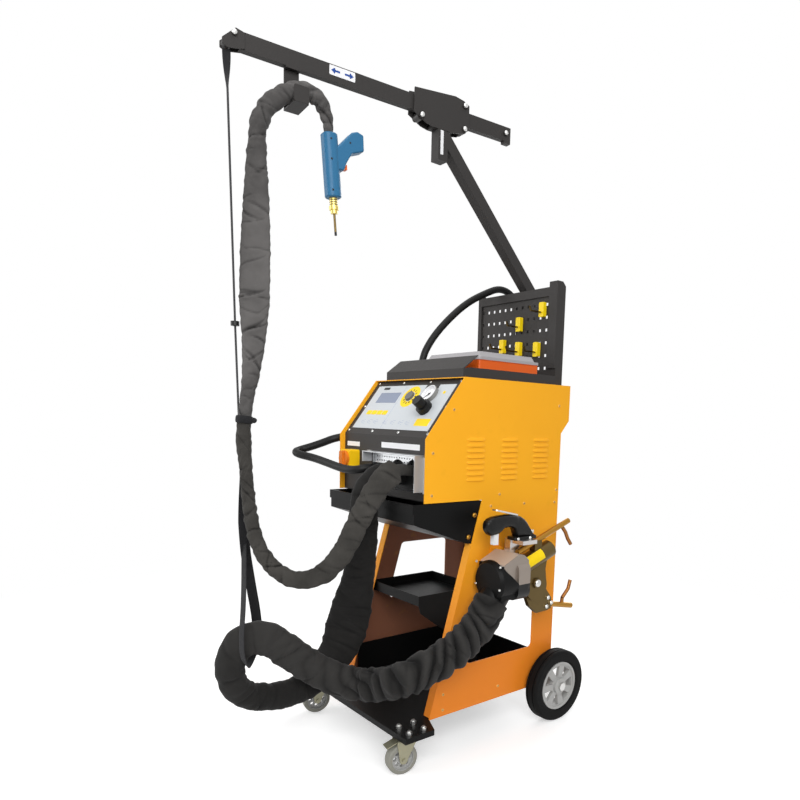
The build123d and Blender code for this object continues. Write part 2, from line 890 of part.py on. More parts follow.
# Screw heads on the side panels and around the front panel
cab_screws = [
    (brow_y - 31, top_z - 79),
    (22, knee_z - 32),
    (21, base_z + 18),
    (rear_y - 43, top_z - 56),
    (240, base_z + 12),
    (waist_y - 10, base_z + 14),
]
trolley_screws = [
    (leg_top_y + 30, base_z - 17),
    (331, base_z - 17),
    (waist_y - 15, base_z - 20),
    (toe_y + 42, skirt_z + 56),
    (toe_y + 42, skirt_z + 16),
    (259, skirt_z + 33),
]
desk_high = slope_l - 3
desk_screws = [(x, v) for v in (22, desk_high) for x in (-183, -65, 53, 175)]
desk_screws += [(-181, 103), (181, 103)]
with BuildPart() as panel_screws:
    for sign in (1, -1):
        with BuildSketch(side(sign * half)):
            with Locations(*cab_screws, *trolley_screws):
                Circle(screw_r)
        extrude(amount=sign * screw_h, taper=25)
    with BuildSketch(desk):
        with Locations(*desk_screws):
            Circle(screw_r)
    extrude(amount=screw_h, taper=25)

# Inside: transformer on the floor, fan on the rear cover's pin
core_w = 150.0
core_d = 90.0
core_h = 130.0
core_y = 250.0
with BuildPart() as transformer:
    with BuildSketch(front(core_y + core_d / 2)):
        with Locations((0, base_z + sheet + core_h / 2)):
            Rectangle(core_w, core_h)
            with Locations((-core_w / 4, 0), (core_w / 4, 0)):
                Rectangle(core_w / 5, core_h * 0.6, mode=Mode.SUBTRACT)
    extrude(amount=core_d)
    with BuildSketch(level(base_z + sheet + core_h * 0.21)):
        with Locations((0, core_y)):
            RectangleRounded(core_w * 0.68, core_d + 36, 16)
    extrude(amount=core_h * 0.58)

with BuildPart() as fan_rotor:
    with BuildSketch(front(waist_y - sheet - 8)):
        with Locations((fan_x, fan_z)):
            Circle(16)
    extrude(amount=18)
    for turn in range(7):
        blade_way = turn * 360 / 7
        with BuildSketch(front(waist_y - sheet - 14)):
            with Locations((fan_x, fan_z)):
                with Locations(Location((0, 0), blade_way)):
                    with Locations((fan_r / 2 + 4, 0)):
                        Rectangle(fan_r - 10, 16)
        extrude(amount=3)
    with BuildSketch(front(waist_y - sheet)):
        with Locations((fan_x, fan_z)):
            Circle(fan_pin_r + run_fit)
    extrude(amount=40, mode=Mode.SUBTRACT)

# Tray on the cabinet, with the box that stands in it
with BuildPart() as top_tray:
    with BuildSketch(side(top_left)):
        Polygon(
            *bent(
                [
                    (top_lip_y, top_crest_z),
                    (brow_y, top_lip_z),
                    (brow_y, top_z),
                    (top_rear_y, top_z),
                    (top_rear_y, top_z + top_wall),
                ],
                sheet,
            ),
            align=None,
        )
    extrude(amount=top_right - top_left)
    for wall_x in (top_left, top_right - sheet):
        with BuildSketch(side(wall_x)):
            Polygon(
                (brow_y + sheet / 2, top_z + sheet / 2),
                (brow_y + sheet / 2, top_lip_z),
                (brow_y + top_wall, top_z + top_wall),
                (top_rear_y - sheet / 2, top_z + top_wall),
                (top_rear_y - sheet / 2, top_z + sheet / 2),
                align=None,
            )
        extrude(amount=sheet)
    with BuildSketch(level(top_z + sheet)):
        with Locations((hose_x, hose_y)):
            Circle(hose_r + 4)
    extrude(amount=10)

box_z = top_z + sheet
lid_z = box_z + box_h
with BuildPart() as organizer_box:
    with BuildSketch(level(box_z)):
        with Locations(((box_left + box_right) / 2, (box_front_y + box_rear_y) / 2)):
            RectangleRounded(box_right - box_left - 4, box_rear_y - box_front_y - 4, 6)
    extrude(amount=box_h)
    with BuildSketch(level(lid_z)):
        with Locations(((box_left + box_right) / 2, (box_front_y + box_rear_y) / 2)):
            RectangleRounded(box_right - box_left, box_rear_y - box_front_y, 8)
    extrude(amount=lid_h)
    with BuildSketch(level(lid_z + lid_h)):
        with Locations(((box_left + box_right) / 2, (box_front_y + box_rear_y) / 2)):
            RectangleRounded(box_right - box_left - 16, box_rear_y - box_front_y - 16, 6)
    extrude(amount=lid_crown, taper=30)

with BuildPart() as pegboard:
    with BuildSketch(level(top_z)):
        Polygon(
            *bent(
                [
                    (-peg_half, peg_y + peg_post_d),
                    (-peg_half, peg_y),
                    (peg_half, peg_y),
                    (peg_half, peg_y + peg_post_d),
                ],
                sheet,
            ),
            align=None,
        )
    extrude(amount=peg_top_z - top_z)
    for sign in (1, -1):
        with BuildSketch(side(sign * peg_half)):
            Polygon(
                (peg_y, peg_top_z),
                (peg_y, peg_post_z),
                (peg_y + peg_post_d - 12, peg_post_z),
                (peg_y + peg_post_d, peg_post_z - 12),
                (peg_y + peg_post_d, peg_top_z),
                align=None,
            )
        extrude(amount=-sign * sheet)
    border_low = top_z + 2 * top_wall
    with BuildSketch(front(peg_y)):
        with Locations((peg_half - 15, (border_low + peg_post_z) / 2)):
            Rectangle(30, peg_post_z - border_low)
        with Locations((7 - peg_half, (border_low + peg_post_z) / 2)):
            Rectangle(14, peg_post_z - border_low)
        with Locations((0, peg_top_z - 12)):
            Rectangle(2 * peg_half, 24)
    extrude(amount=peg_frame)
    with BuildSketch(front(peg_y + sheet)):
        with Locations((1 - peg_pitch_x / 2, peg_mid_z)):
            with GridLocations(peg_pitch_x, peg_pitch_z, peg_cols, peg_rows):
                Rectangle(peg_hole, peg_hole)
    extrude(amount=sheet, mode=Mode.SUBTRACT)

with BuildPart() as peg_hooks:
    with BuildSketch(front(peg_y)):
        with Locations(*hook_spots):
            RectangleRounded(hook_w, hook_h, 3)
    extrude(amount=hook_d)
    for x, z in hook_spots:
        with BuildSketch(side(x - 2)):
            Polygon(
                *bent(
                    [(peg_y - hook_d + 1, z - 8), (peg_y - hook_d - 40, z - 8), (peg_y - hook_d - 46, z + 4)],
                    2,
                    2,
                ),
                align=None,
            )
        extrude(amount=4)

# Mast: upright post behind the cabinet, sloping tube, and the stub that the boom turns in
slope_end = elbow_z + (mast_y - pivot_y)
axis_line = [(mast_y, mast_foot_z), (mast_y, elbow_z), (pivot_y, slope_end)]
bore_line = [(mast_y, mast_foot_z + tube_t), (mast_y, elbow_z), (pivot_y + tube, slope_end - tube)]
with BuildPart() as mast:
    with BuildSketch(side(-tube / 2)):
        Polygon(*bent(axis_line, tube / 2, tube / 2), align=None)
    extrude(amount=tube)
    with BuildSketch(side(tube_t - tube / 2)):
        Polygon(*bent(bore_line, tube / 2 - tube_t, tube / 2 - tube_t), align=None)
    extrude(amount=tube - 2 * tube_t, mode=Mode.SUBTRACT)
    with BuildSketch(level(stub_low_z)):
        with Locations((0, pivot_y - tube)):
            Rectangle(2 * tube, tube)
    extrude(amount=2 * tube + slope_end - stub_low_z, mode=Mode.SUBTRACT)
    with BuildSketch(level(stub_top_z)):
        with Locations((0, pivot_y)):
            Rectangle(2 * tube, 3 * tube)
    extrude(amount=2 * tube + slope_end - stub_top_z, mode=Mode.SUBTRACT)
    with BuildSketch(level(stub_low_z)):
        with Locations((0, pivot_y)):
            Rectangle(tube, tube)
    extrude(amount=stub_top_z - stub_low_z)
    with BuildSketch(level(stub_top_z)):
        with Locations((0, pivot_y)):
            Circle(swivel_pin_r + run_fit)
    extrude(amount=-60, mode=Mode.SUBTRACT)
    for clamp_z, clamp_y in ((base_z + 64, waist_y), (top_z - 46, rear_y)):
        with BuildSketch(level(clamp_z)):
            with Locations((0, (clamp_y + mast_y) / 2)):
                Rectangle(tube, mast_y - clamp_y)
            with Locations((0, clamp_y + 2)):
                Rectangle(tube + 30, 4)
        extrude(amount=30)

# Boom: everything on it is drawn in the boom's own upright plane, (s, z) from the swivel
boom_way = (sin(swivel), cos(swivel), 0)
boom_side = (cos(swivel), -sin(swivel), 0)
arm_high_z = arm_low_z + arm_h
arm_mid_z = arm_low_z + arm_h / 2


def boom(t):
    """Upright plane along the boom, t to its right, read as (s, z)."""
    origin = (t * boom_side[0], pivot_y + t * boom_side[1], 0)
    return Plane(origin=origin, x_dir=boom_way, z_dir=boom_side)


def boom_level(z):
    """Level plane over the swivel, read as (s, t to the left)."""
    return Plane(origin=(0, pivot_y, z), x_dir=boom_way, z_dir=(0, 0, 1))


low_roller_z = arm_low_z - roller_r - seat_gap
high_roller_z = arm_high_z + roller_r + seat_gap
roller_spots = [(-roller_s, low_roller_z), (roller_s, low_roller_z), (roller_s, high_roller_z)]
cheek_in = roller_w / 2 + 1
yoke_z = stub_top_z + seat_gap
cheek = [
    (-84, arm_high_z + 14),
    (-86, arm_low_z - 6),
    (-50, yoke_z + 4),
    (-30, yoke_z),
    (30, yoke_z),
    (60, yoke_z + 6),
    (79, arm_low_z - 10),
    (79, arm_high_z + 14),
    (62, arm_high_z + 22),
    (36, arm_high_z + 26),
]
with BuildPart() as boom_head:
    for t in (cheek_in, -cheek_in - cheek_t):
        with BuildSketch(boom(t)):
            Polygon(*cheek, align=None)
        extrude(amount=cheek_t)
    with BuildSketch(boom_level(yoke_z)):
        Rectangle(60, 2 * cheek_in)
    extrude(amount=low_roller_z - roller_r - yoke_z - 1)
    with BuildSketch(boom_level(yoke_z)):
        Circle(swivel_pin_r)
    extrude(amount=-56)
    with BuildSketch(boom(0)):
        with Locations(*roller_spots):
            Circle(roller_pin_r)
    extrude(amount=cheek_in + cheek_t, both=True)
    for t in (cheek_in + cheek_t, -cheek_in - cheek_t - 4):
        with BuildSketch(boom(t)):
            with Locations(*roller_spots):
                Circle(roller_pin_r + 3)
        extrude(amount=4)

with BuildPart() as guide_rollers:
    with BuildSketch(boom(0)):
        with Locations(*roller_spots):
            Circle(roller_r)
            Circle(roller_pin_r + run_fit, mode=Mode.SUBTRACT)
    extrude(amount=roller_w / 2, both=True)

with BuildPart() as boom_arm:
    with BuildSketch(boom(0)):
        Polygon(
            (arm_front, arm_low_z),
            (arm_rear, arm_low_z),
            (arm_rear, arm_high_z),
            (arm_front, arm_high_z),
            align=None,
        )
    extrude(amount=arm_w / 2, both=True)
    with BuildSketch(boom(0)):
        Polygon(
            (arm_front, arm_low_z + tube_t),
            (arm_rear - tube_t, arm_low_z + tube_t),
            (arm_rear - tube_t, arm_high_z - tube_t),
            (arm_front, arm_high_z - tube_t),
            align=None,
        )
    extrude(amount=arm_w / 2 - tube_t, both=True, mode=Mode.SUBTRACT)
    for t in (arm_w / 2, -arm_w / 2 - cheek_t):
        with BuildSketch(boom(t)):
            Polygon(
                (arm_front + 10, arm_low_z + 2),
                (arm_front + 10, arm_high_z - 2),
                (arm_front - 8, arm_high_z + 2),
                (tip_s - tip_r - 1, tip_z + 6),
                (tip_s - tip_r - 1, tip_z - 6),
                (tip_s, tip_z - tip_r - 1),
                align=None,
            )
        extrude(amount=cheek_t)
    with BuildSketch(boom(0)):
        with Locations((tip_s, tip_z)):
            Circle(tip_r)
    extrude(amount=arm_w / 2, both=True)
    with BuildSketch(boom(0)):
        with Locations((arm_front - 12, arm_high_z - 9), (arm_rear - 20, arm_mid_z)):
            Circle(5)
    extrude(amount=arm_w / 2 + cheek_t + 3, both=True)
    with BuildSketch(boom(0)):
        with Locations((arm_rear - 10, arm_low_z - 3)):
            Rectangle(20, 6)
    extrude(amount=arm_w / 2, both=True)

with BuildPart() as sleeve_cradle:
    with BuildSketch(boom_level(arm_low_z)):
        with Locations((cradle_s, 0)):
            Rectangle(cradle_l, arm_w)
    extrude(amount=-3)
    with BuildSketch(boom(-arm_w / 2)):
        with Locations((cradle_s, arm_low_z - cradle_drop / 2)):
            Rectangle(cradle_l, cradle_drop)
    extrude(amount=3)
    with BuildSketch(boom_level(arm_low_z - cradle_drop)):
        with Locations((cradle_s, arm_w / 2 - cradle_out / 2)):
            Rectangle(cradle_l, cradle_out)
    extrude(amount=3)
    with BuildSketch(boom(cradle_out - arm_w / 2)):
        with Locations((cradle_s, arm_low_z - cradle_drop + 6)):
            Rectangle(cradle_l, 12)
    extrude(amount=-3)

# Stud gun: (a, b) across and up its barrel from the nose
stud_origin = (
    stud_s * boom_way[0] + stud_t * boom_side[0],
    pivot_y + stud_s * boom_way[1] + stud_t * boom_side[1],
    stud_z,
)
stud_across = (boom_way[0] * cos(stud_lean), boom_way[1] * cos(stud_lean), sin(stud_lean))
stud = Plane(origin=stud_origin, x_dir=stud_across, z_dir=boom_side)
stud_up = (-boom_way[0] * sin(stud_lean), -boom_way[1] * sin(stud_lean), cos(stud_lean))
nose = Plane(origin=stud_origin, x_dir=stud_across, z_dir=stud_up)
grip = [
    (0, 60),
    (0, 100),
    (stud_w / 2, 114),
    (52, 146),
    (66, 150),
    (81, 144),
    (80, 109),
    (64, 104),
    (50, 100),
    (41, 88),
    (33, 76),
    (26, 60),
]
trigger_b = 70.0
with BuildPart() as stud_barrel:
    with BuildSketch(nose):
        RectangleRounded(stud_w, stud_d, stud_d / 2 - 3)
    extrude(amount=stud_l)
    barrel_faces = stud_barrel.faces().sort_by(Axis(stud_origin, stud_up))
    chamfer(barrel_faces[0].edges() + barrel_faces[-1].edges(), 2.5)

with BuildPart() as stud_gun_body:
    with BuildSketch(stud):
        Polygon(*grip, align=None)
    extrude(amount=stud_d / 2 - 3, both=True)
    fillet(stud_gun_body.edges(), 4)
    add(stud_barrel)
    with BuildSketch(stud):
        with Locations((stud_w / 2 + 2, trigger_b)):
            Rectangle(2 * stud_w - 44, stud_trigger_h + 2 * seat_gap)
    extrude(amount=stud_trigger_w / 2 + seat_gap, both=True, mode=Mode.SUBTRACT)

with BuildPart() as stud_gun_trigger:
    with BuildSketch(stud):
        with Locations((stud_w / 2 + 6, trigger_b)):
            Rectangle(2 * stud_w - 46, stud_trigger_h)
    extrude(amount=stud_trigger_w / 2, both=True)

with BuildPart() as stud_gun_nose:
    for r, low, high in (
        (collet_r - 2, -20, 0),
        (collet_r, -26, -18),
        (collet_r - 3, -34, -26),
        (rod_r, rod_end, -34),
    ):
        with BuildSketch(nose.offset(low)):
            Circle(r)
        extrude(amount=high - low)

# Spot gun on the right side: cap and body in line, arms behind, handle on top
body_y = gun_cap_y + gun_cap_l
neck_point = (gun_x, gun_cap_y + 4, gun_z - 68)
neck_way = (0, 0.6, 0.8)
with BuildPart() as spot_gun_cap:
    with BuildSketch(front(body_y)):
        with Locations((gun_x, gun_z)):
            Circle(gun_cap_r)
            with PolarLocations(gun_cap_r - 2, 4, start_angle=45):
                RegularPolygon(10, 4)
    extrude(amount=gun_cap_l - 8)
    with BuildSketch(front(body_y - gun_cap_l + 8)):
        with Locations((gun_x, gun_z)):
            Circle(gun_cap_r)
    extrude(amount=8, taper=40)
    with BuildSketch(Plane(origin=neck_point, x_dir=(1, 0, 0), z_dir=neck_way)):
        Circle(spot_sleeve_r + 2)
    extrude(amount=44)
    with BuildSketch(front(body_y)):
        with Locations((gun_x, gun_z)):
            Rectangle(4 * gun_cap_r, 4 * gun_cap_r)
    extrude(amount=-2 * gun_cap_l, mode=Mode.SUBTRACT)
    with BuildSketch(side(gun_x)):
        Polygon(
            (gun_cap_y + 14 - seat_gap, gun_z + 37),
            (gun_cap_y + 14 - seat_gap, gun_z + 2 * gun_half),
            (gun_rear_y, gun_z + 2 * gun_half),
            (gun_rear_y, gun_z - 7 - seat_gap),
            (body_y + 2.6, gun_z - 7 - seat_gap),
            align=None,
        )
    extrude(amount=2 * gun_half, both=True, mode=Mode.SUBTRACT)

block_low = gun_z + gun_half
block_high = block_low + block_h
with BuildPart() as spot_gun_body:
    with BuildSketch(front(gun_rear_y)):
        with Locations((gun_x, gun_z)):
            RectangleRounded(2 * gun_half, 2 * gun_half, 26)
    extrude(amount=gun_rear_y - body_y)
    with BuildSketch(side(gun_x)):
        Polygon(
            (gun_cap_y + 14, gun_z + 38),
            (gun_cap_y + 14, gun_z + 45),
            (body_y + 6, gun_z + 68),
            (body_y + 24, gun_z + 64),
            (gun_rear_y, block_low),
            (gun_rear_y, gun_z - 7),
            (body_y + 3, gun_z - 7),
            align=None,
        )
    extrude(amount=gun_half - 7, both=True)
    with BuildSketch(side(gun_x - block_half)):
        Polygon(
            (body_y + 24, block_low - 10),
            (gun_rear_y, block_low - 10),
            (gun_rear_y, block_low + 6),
            (gun_rear_y + 18, block_low + 26),
            (gun_rear_y + 18, block_high),
            (body_y + 24, block_high),
            align=None,
        )
    extrude(amount=block_half - arm_tube_r - 2)
    with BuildSketch(side(gun_x)):
        with Locations(((body_y + gun_rear_y + 66) / 2, block_high - 5)):
            Rectangle(gun_rear_y - body_y + 10, 10)
    extrude(amount=block_half + 2, both=True)

handle_half = 15.0
trigger_y = 172.0
with BuildPart() as spot_gun_handle:
    with BuildSketch(side(gun_x)):
        Polygon(
            (228, block_high),
            (306, block_high),
            (306, block_high + 8),
            (292, block_high + 16),
            (274, block_high + 44),
            (252, block_high + 60),
            (212, block_high + 66),
            (172, block_high + 65),
            (150, block_high + 60),
            (138, block_high + 51),
            (143, block_high + 28),
            (156, block_high + 17),
            (182, block_high + 21),
            (196, block_high + 34),
            (224, block_high + 34),
            (236, block_high + 24),
            (240, block_high + 10),
            (228, block_high + 8),
            align=None,
        )
    extrude(amount=handle_half, both=True)
    fillet(spot_gun_handle.edges().filter_by(Axis.X), 3)
    with BuildSketch(side(gun_x)):
        with Locations((trigger_y, block_high + 20)):
            Rectangle(14 + 2 * seat_gap, 32)
    extrude(amount=7 + seat_gap, both=True, mode=Mode.SUBTRACT)

with BuildPart() as spot_gun_trigger:
    with BuildSketch(side(gun_x)):
        with Locations((trigger_y, block_high + 11)):
            Rectangle(14, 34)
    extrude(amount=7, both=True)

# Fixed upper arm: clamp plates, ram and tube with its bent electrode
ram_rise = radians(20)
ram_start = (gun_x, gun_rear_y - 6, gun_z + 15)
ram_plane = Plane(origin=ram_start, x_dir=(1, 0, 0), z_dir=(0, cos(ram_rise), sin(ram_rise)))
tube_rise = radians(19.8)
tube_start = (gun_x, gun_rear_y - 20, gun_z + 54)
tube_plane = Plane(origin=tube_start, x_dir=(1, 0, 0), z_dir=(0, cos(tube_rise), sin(tube_rise)))
tube_l = 224.0
electrode = [(gun_x, 417, 560), (gun_x, 434, 541), (gun_x, 444, 523), (gun_x, 457, 507)]
jaw_half = jaw_t / 2
plate_out = jaw_half + seat_gap + plate_t
plate_outline = [
    (gun_rear_y - 4, gun_z + 12),
    (gun_rear_y + 14, gun_z + 7),
    (gun_pivot_y - 31, gun_pivot_z - 17),
    (gun_pivot_y + 40, gun_pivot_z - 9),
    (gun_pivot_y + 33, gun_pivot_z + 33),
    (gun_pivot_y + 40, gun_pivot_z + 70),
    (gun_rear_y - 4, gun_z + 44),
]
with BuildPart() as spot_gun_arm:
    with BuildSketch(side(gun_x)):
        Polygon(*plate_outline, align=None)
        with Locations((gun_pivot_y + 3, gun_pivot_z - 11)):
            Circle(37)
        with Locations((gun_pivot_y, gun_pivot_z)):
            Circle(gun_pivot_r + run_fit, mode=Mode.SUBTRACT)
    extrude(amount=plate_out, both=True)
    with BuildSketch(side(gun_x)):
        Polygon(
            (gun_rear_y + 2, gun_z - 120),
            (gun_rear_y + 2, gun_pivot_z + 34),
            (gun_pivot_y + 90, gun_pivot_z + 34),
            (gun_pivot_y + 90, gun_z - 120),
            align=None,
        )
    extrude(amount=jaw_half + seat_gap, both=True, mode=Mode.SUBTRACT)
    with BuildSketch(ram_plane):
        Circle(ram_r)
    extrude(amount=134)
    with BuildSketch(tube_plane):
        Circle(arm_tube_r)
    extrude(amount=tube_l)
    with BuildSketch(side(gun_x)):
        with Locations((gun_pivot_y + 8, gun_z + 66)):
            Rectangle(26, 44)
    extrude(amount=arm_tube_r + 2, both=True)
    with BuildSketch(front(gun_rear_y)):
        with Locations((gun_x, gun_z)):
            Rectangle(4 * gun_half, 4 * gun_half)
    extrude(amount=2 * gun_half, mode=Mode.SUBTRACT)
    for a, b in zip(electrode, electrode[1:]):
        way = Vector(*b) - Vector(*a)
        with BuildSketch(Plane(origin=a, x_dir=(1, 0, 0), z_dir=way)):
            Circle(tip_pin_r)
        extrude(amount=way.length)

jaw_plate = [
    (gun_pivot_y - 14, gun_pivot_z + 10),
    (gun_pivot_y + 14, gun_pivot_z + 14),
    (gun_pivot_y + 49, gun_pivot_z - 26),
    (gun_pivot_y + 70, gun_pivot_z - 51),
    (gun_pivot_y + 70, gun_pivot_z - 80),
    (gun_pivot_y + 53, gun_pivot_z - 84),
    (gun_pivot_y + 15, gun_pivot_z - 85),
    (gun_pivot_y - 14, gun_pivot_z - 62),
    (gun_pivot_y - 28, gun_pivot_z - 33),
]
lower_arm = [(gun_x, gun_pivot_y + 56, 354), (gun_x, 470, 333)]
lower_tip = [(gun_x, 432, 338), (gun_x, 433, 360), (gun_x, 456, 382), (gun_x, 463, 406)]
with BuildPart() as spot_gun_jaw:
    with BuildSketch(side(gun_x)):
        Polygon(*jaw_plate, align=None)
    extrude(amount=jaw_half, both=True)
    with BuildSketch(side(gun_x)):
        with Locations((gun_pivot_y, gun_pivot_z)):
            Circle(gun_pivot_r)
    extrude(amount=plate_out, both=True)
    for end_x in (gun_x + plate_out + seat_gap, gun_x - plate_out - seat_gap - 5):
        with BuildSketch(side(end_x)):
            with Locations((gun_pivot_y, gun_pivot_z)):
                RegularPolygon(gun_pivot_r + 6, 6)
        extrude(amount=5)
    with BuildSketch(side(gun_x)):
        with Locations((gun_pivot_y, gun_pivot_z)):
            Circle(gun_pivot_r)
    extrude(amount=plate_out + seat_gap, both=True)
    for line in (lower_arm, lower_tip):
        for a, b in zip(line, line[1:]):
            way = Vector(*b) - Vector(*a)
            with BuildSketch(Plane(origin=a, x_dir=(1, 0, 0), z_dir=way)):
                Circle(tip_pin_r if line is lower_tip else arm_tube_r)
            extrude(amount=way.length)

# Cords: straight runs joined by arcs as large as the runs allow


def arc_radii(points):
    """Radius at each corner of a route: 0.45 of its shorter run over the tangent of half its turn."""
    spots = [Vector(*p) for p in points]
    radii = []
    for a, b, c in zip(spots, spots[1:], spots[2:]):
        turn = radians((b - a).get_angle(c - b))
        radii.append(0.45 * min((b - a).length, (c - b).length) / tan(turn / 2))
    return radii


def report(name, points, diameter):
    """Print the tightest bend of a route in diameters."""
    print(name, "least radius", round(min(arc_radii(points)) / diameter, 2), "diameters")


def on_boom(s, t, z):
    """Point beside the boom: s along it from the swivel, t to its right."""
    return (
        s * boom_way[0] + t * boom_side[0],
        pivot_y + s * boom_way[1] + t * boom_side[1],
        z,
    )


gun_top = Vector(*stud_origin) + Vector(*stud_up) * stud_l
gun_rise = gun_top + Vector(*stud_up) * 48
gun_sleeve_route = [
    (gun_top.X, gun_top.Y, gun_top.Z),
    (gun_rise.X, gun_rise.Y, gun_rise.Z),
    on_boom(-352, 24, arm_low_z - 38),
    on_boom(-412, 23, arm_low_z - 53),
    on_boom(-466, 15, arm_low_z - 116),
    on_boom(-472, 11, arm_low_z - 190),
    on_boom(-472, 9, arm_low_z - 290),
    on_boom(-476, 6, arm_low_z - 480),
    on_boom(-480, 9, arm_low_z - 640),
    (-36, -337, 806),
    (-33, -331, 712),
    (-27, -325, 610),
    (-18, -314, 540),
    (2, -288, 484),
    (36, -246, 451),
    (76, -196, 466),
    (104, -158, 522),
    (128, -128, 602),
    (142, -108, 652),
    (138, -76, 692),
    (120, -34, 706),
    (120, bay_y, 706),
]
spot_sleeve_route = [
    (58, bay_y, 696),
    (58, -16, 696),
    (59, -58, 684),
    (55, -78, 640),
    (40, -76, 572),
    (21, -70, 508),
    (6, -68, 430),
    (-14, -70, 352),
    (-44, -82, 286),
    (-70, -102, 222),
    (-80, -142, 174),
    (-64, -200, 147),
    (-52, -278, 147),
    (-46, -345, 177),
    (-44, -374, 245),
    (-40, -350, 310),
    (-22, -292, 318),
    (-4, -230, 262),
    (14, -165, 207),
    (62, -106, 182),
    (128, -78, 193),
    (198, -58, 222),
    (242, -12, 256),
    (257, 50, 286),
    (gun_x, neck_point[1] - 57 * neck_way[1], neck_point[2] - 57 * neck_way[2]),
    neck_point,
]
earth_route = [
    (-28, bay_y, 705),
    (-28, -18, 705),
    (-50, -42, 697),
    (-96, -50, 699),
    (-150, -60, 709),
    (-204, -74, 720),
    (-238, -98, 727),
    (-264, -106, 733),
    (-277, -80, 739),
    (-256, -56, 747),
    (-236, -28, 760),
    (-214, -6, 773),
    (-210, 38, 780),
    (-half - earth_r - 3, earth_boss_y - 72, earth_boss_z),
    (-half - earth_r - 3, earth_boss_y - 12, earth_boss_z),
]
hose_route = [
    (hose_x, hose_y, top_z + sheet + 10),
    (hose_x, hose_y, top_z + 60),
    (hose_x, 222, top_z + 119),
    (hose_x, 278, top_z + 178),
    (hose_x, 345, top_z + 233),
    (hose_x, 414, top_z + 270),
    (hose_x + 4, 476, top_z + 296),
    (hose_end[0] - 14, 520, top_z + 270),
    (hose_end[0] - 2, hose_end[1] + 4, top_z + 186),
    (hose_end[0], hose_end[1], top_z + 76),
    hose_end,
]
tubes = {}
for name, route, r in (
    ("gun_sleeve", gun_sleeve_route, gun_sleeve_r),
    ("spot_sleeve", spot_sleeve_route, spot_sleeve_r),
    ("earth_cable", earth_route, earth_r),
    ("air_hose", hose_route, hose_r),
):
    report(name, route, 2 * r)
    with BuildPart() as cord:
        with BuildLine():
            path = FilletPolyline(*route, radius=arc_radii(route))
        with BuildSketch(Plane(origin=path @ 0, z_dir=path % 0)):
            Circle(r)
        sweep()
    plain_volume = pi * r**2 * path.length
    print(name, "volume over section times length", round(cord.part.volume / plain_volume, 4))
    tubes[name] = cord

# Balance strap from the boom's tip bar to a sling round the spot gun's sleeve
strap_top = Vector(*on_boom(tip_s, 0, tip_z - tip_r - seat_gap))
sling_top = Vector(-80, -318, 522)
sling_route = [
    sling_top,
    Vector(-76, -287, 335),
    Vector(-68, -294, 288),
    Vector(-31, -318, 252),
    Vector(8, -340, 272),
    Vector(17, -357, 318),
    sling_top,
]
sling_face = (0.6, 0.8, 0)
strap_way = sling_top - strap_top
with BuildPart() as strap:
    with BuildSketch(Plane(origin=strap_top, x_dir=(1, 0, 0), z_dir=strap_way)):
        Rectangle(arm_w - 2, strap_t)
    extrude(amount=strap_way.length)
    for a, b in zip(sling_route, sling_route[1:]):
        run = b - a
        with BuildSketch(Plane(origin=a - run.normalized() * strap_t, x_dir=sling_face, z_dir=run)):
            Rectangle(strap_w, strap_t)
        extrude(amount=run.length + 2 * strap_t)

machine = {
    "trolley_side_right": trolley_sides["right"],
    "trolley_side_left": trolley_sides["left"],
    "base_pan": base_pan,
    "tool_shelf": tool_shelf,
    "front_tray": front_tray,
    "rear_axle": rear_axle,
    "castor_plates": castor_plates,
    "castor_bolts": castor_bolts,
    "castor_fork_right": castor_forks["right"],
    "castor_fork_left": castor_forks["left"],
    "castor_wheel_right": castor_wheels["right"],
    "castor_wheel_left": castor_wheels["left"],
    "castor_pedal_right": castor_pedals["right"],
    "castor_pedal_left": castor_pedals["left"],
    "rear_hub_right": rear_hubs["right"],
    "rear_hub_left": rear_hubs["left"],
    "rear_tyre_right": rear_tyres["right"],
    "rear_tyre_left": rear_tyres["left"],
    "cabinet_side_right": cabinet_sides["right"],
    "cabinet_side_left": cabinet_sides["left"],
    "cabinet_top": cabinet_top,
    "cabinet_rear": cabinet_rear,
    "cabinet_floor": cabinet_floor,
    "front_panel": front_panel,
    "control_overlay": control_overlay,
    "display": display,
    "gauge": gauge,
    "gauge_needle": gauge_needle,
    "mode_knob": mode_knob,
    "regulator_knob": regulator_knob,
    "switch_body": switch_body,
    "switch_knob": switch_knob,
    "output_terminals": output_terminals,
    "terminal_guard": terminal_guard,
    "panel_screws": panel_screws,
    "transformer": transformer,
    "fan_rotor": fan_rotor,
    "top_tray": top_tray,
    "organizer_box": organizer_box,
    "pegboard": pegboard,
    "peg_hooks": peg_hooks,
    "mast": mast,
    "boom_head": boom_head,
    "guide_rollers": guide_rollers,
    "boom_arm": boom_arm,
    "sleeve_cradle": sleeve_cradle,
    "stud_gun_body": stud_gun_body,
    "stud_gun_trigger": stud_gun_trigger,
    "stud_gun_nose": stud_gun_nose,
    "spot_gun_cap": spot_gun_cap,
    "spot_gun_body": spot_gun_body,
    "spot_gun_handle": spot_gun_handle,
    "spot_gun_trigger": spot_gun_trigger,
    "spot_gun_arm": spot_gun_arm,
    "spot_gun_jaw": spot_gun_jaw,
}
soft = {
    "gun_sleeve": tubes["gun_sleeve"],
    "spot_sleeve": tubes["spot_sleeve"],
    "earth_cable": tubes["earth_cable"],
    "air_hose": tubes["air_hose"],
    "strap": strap,
}

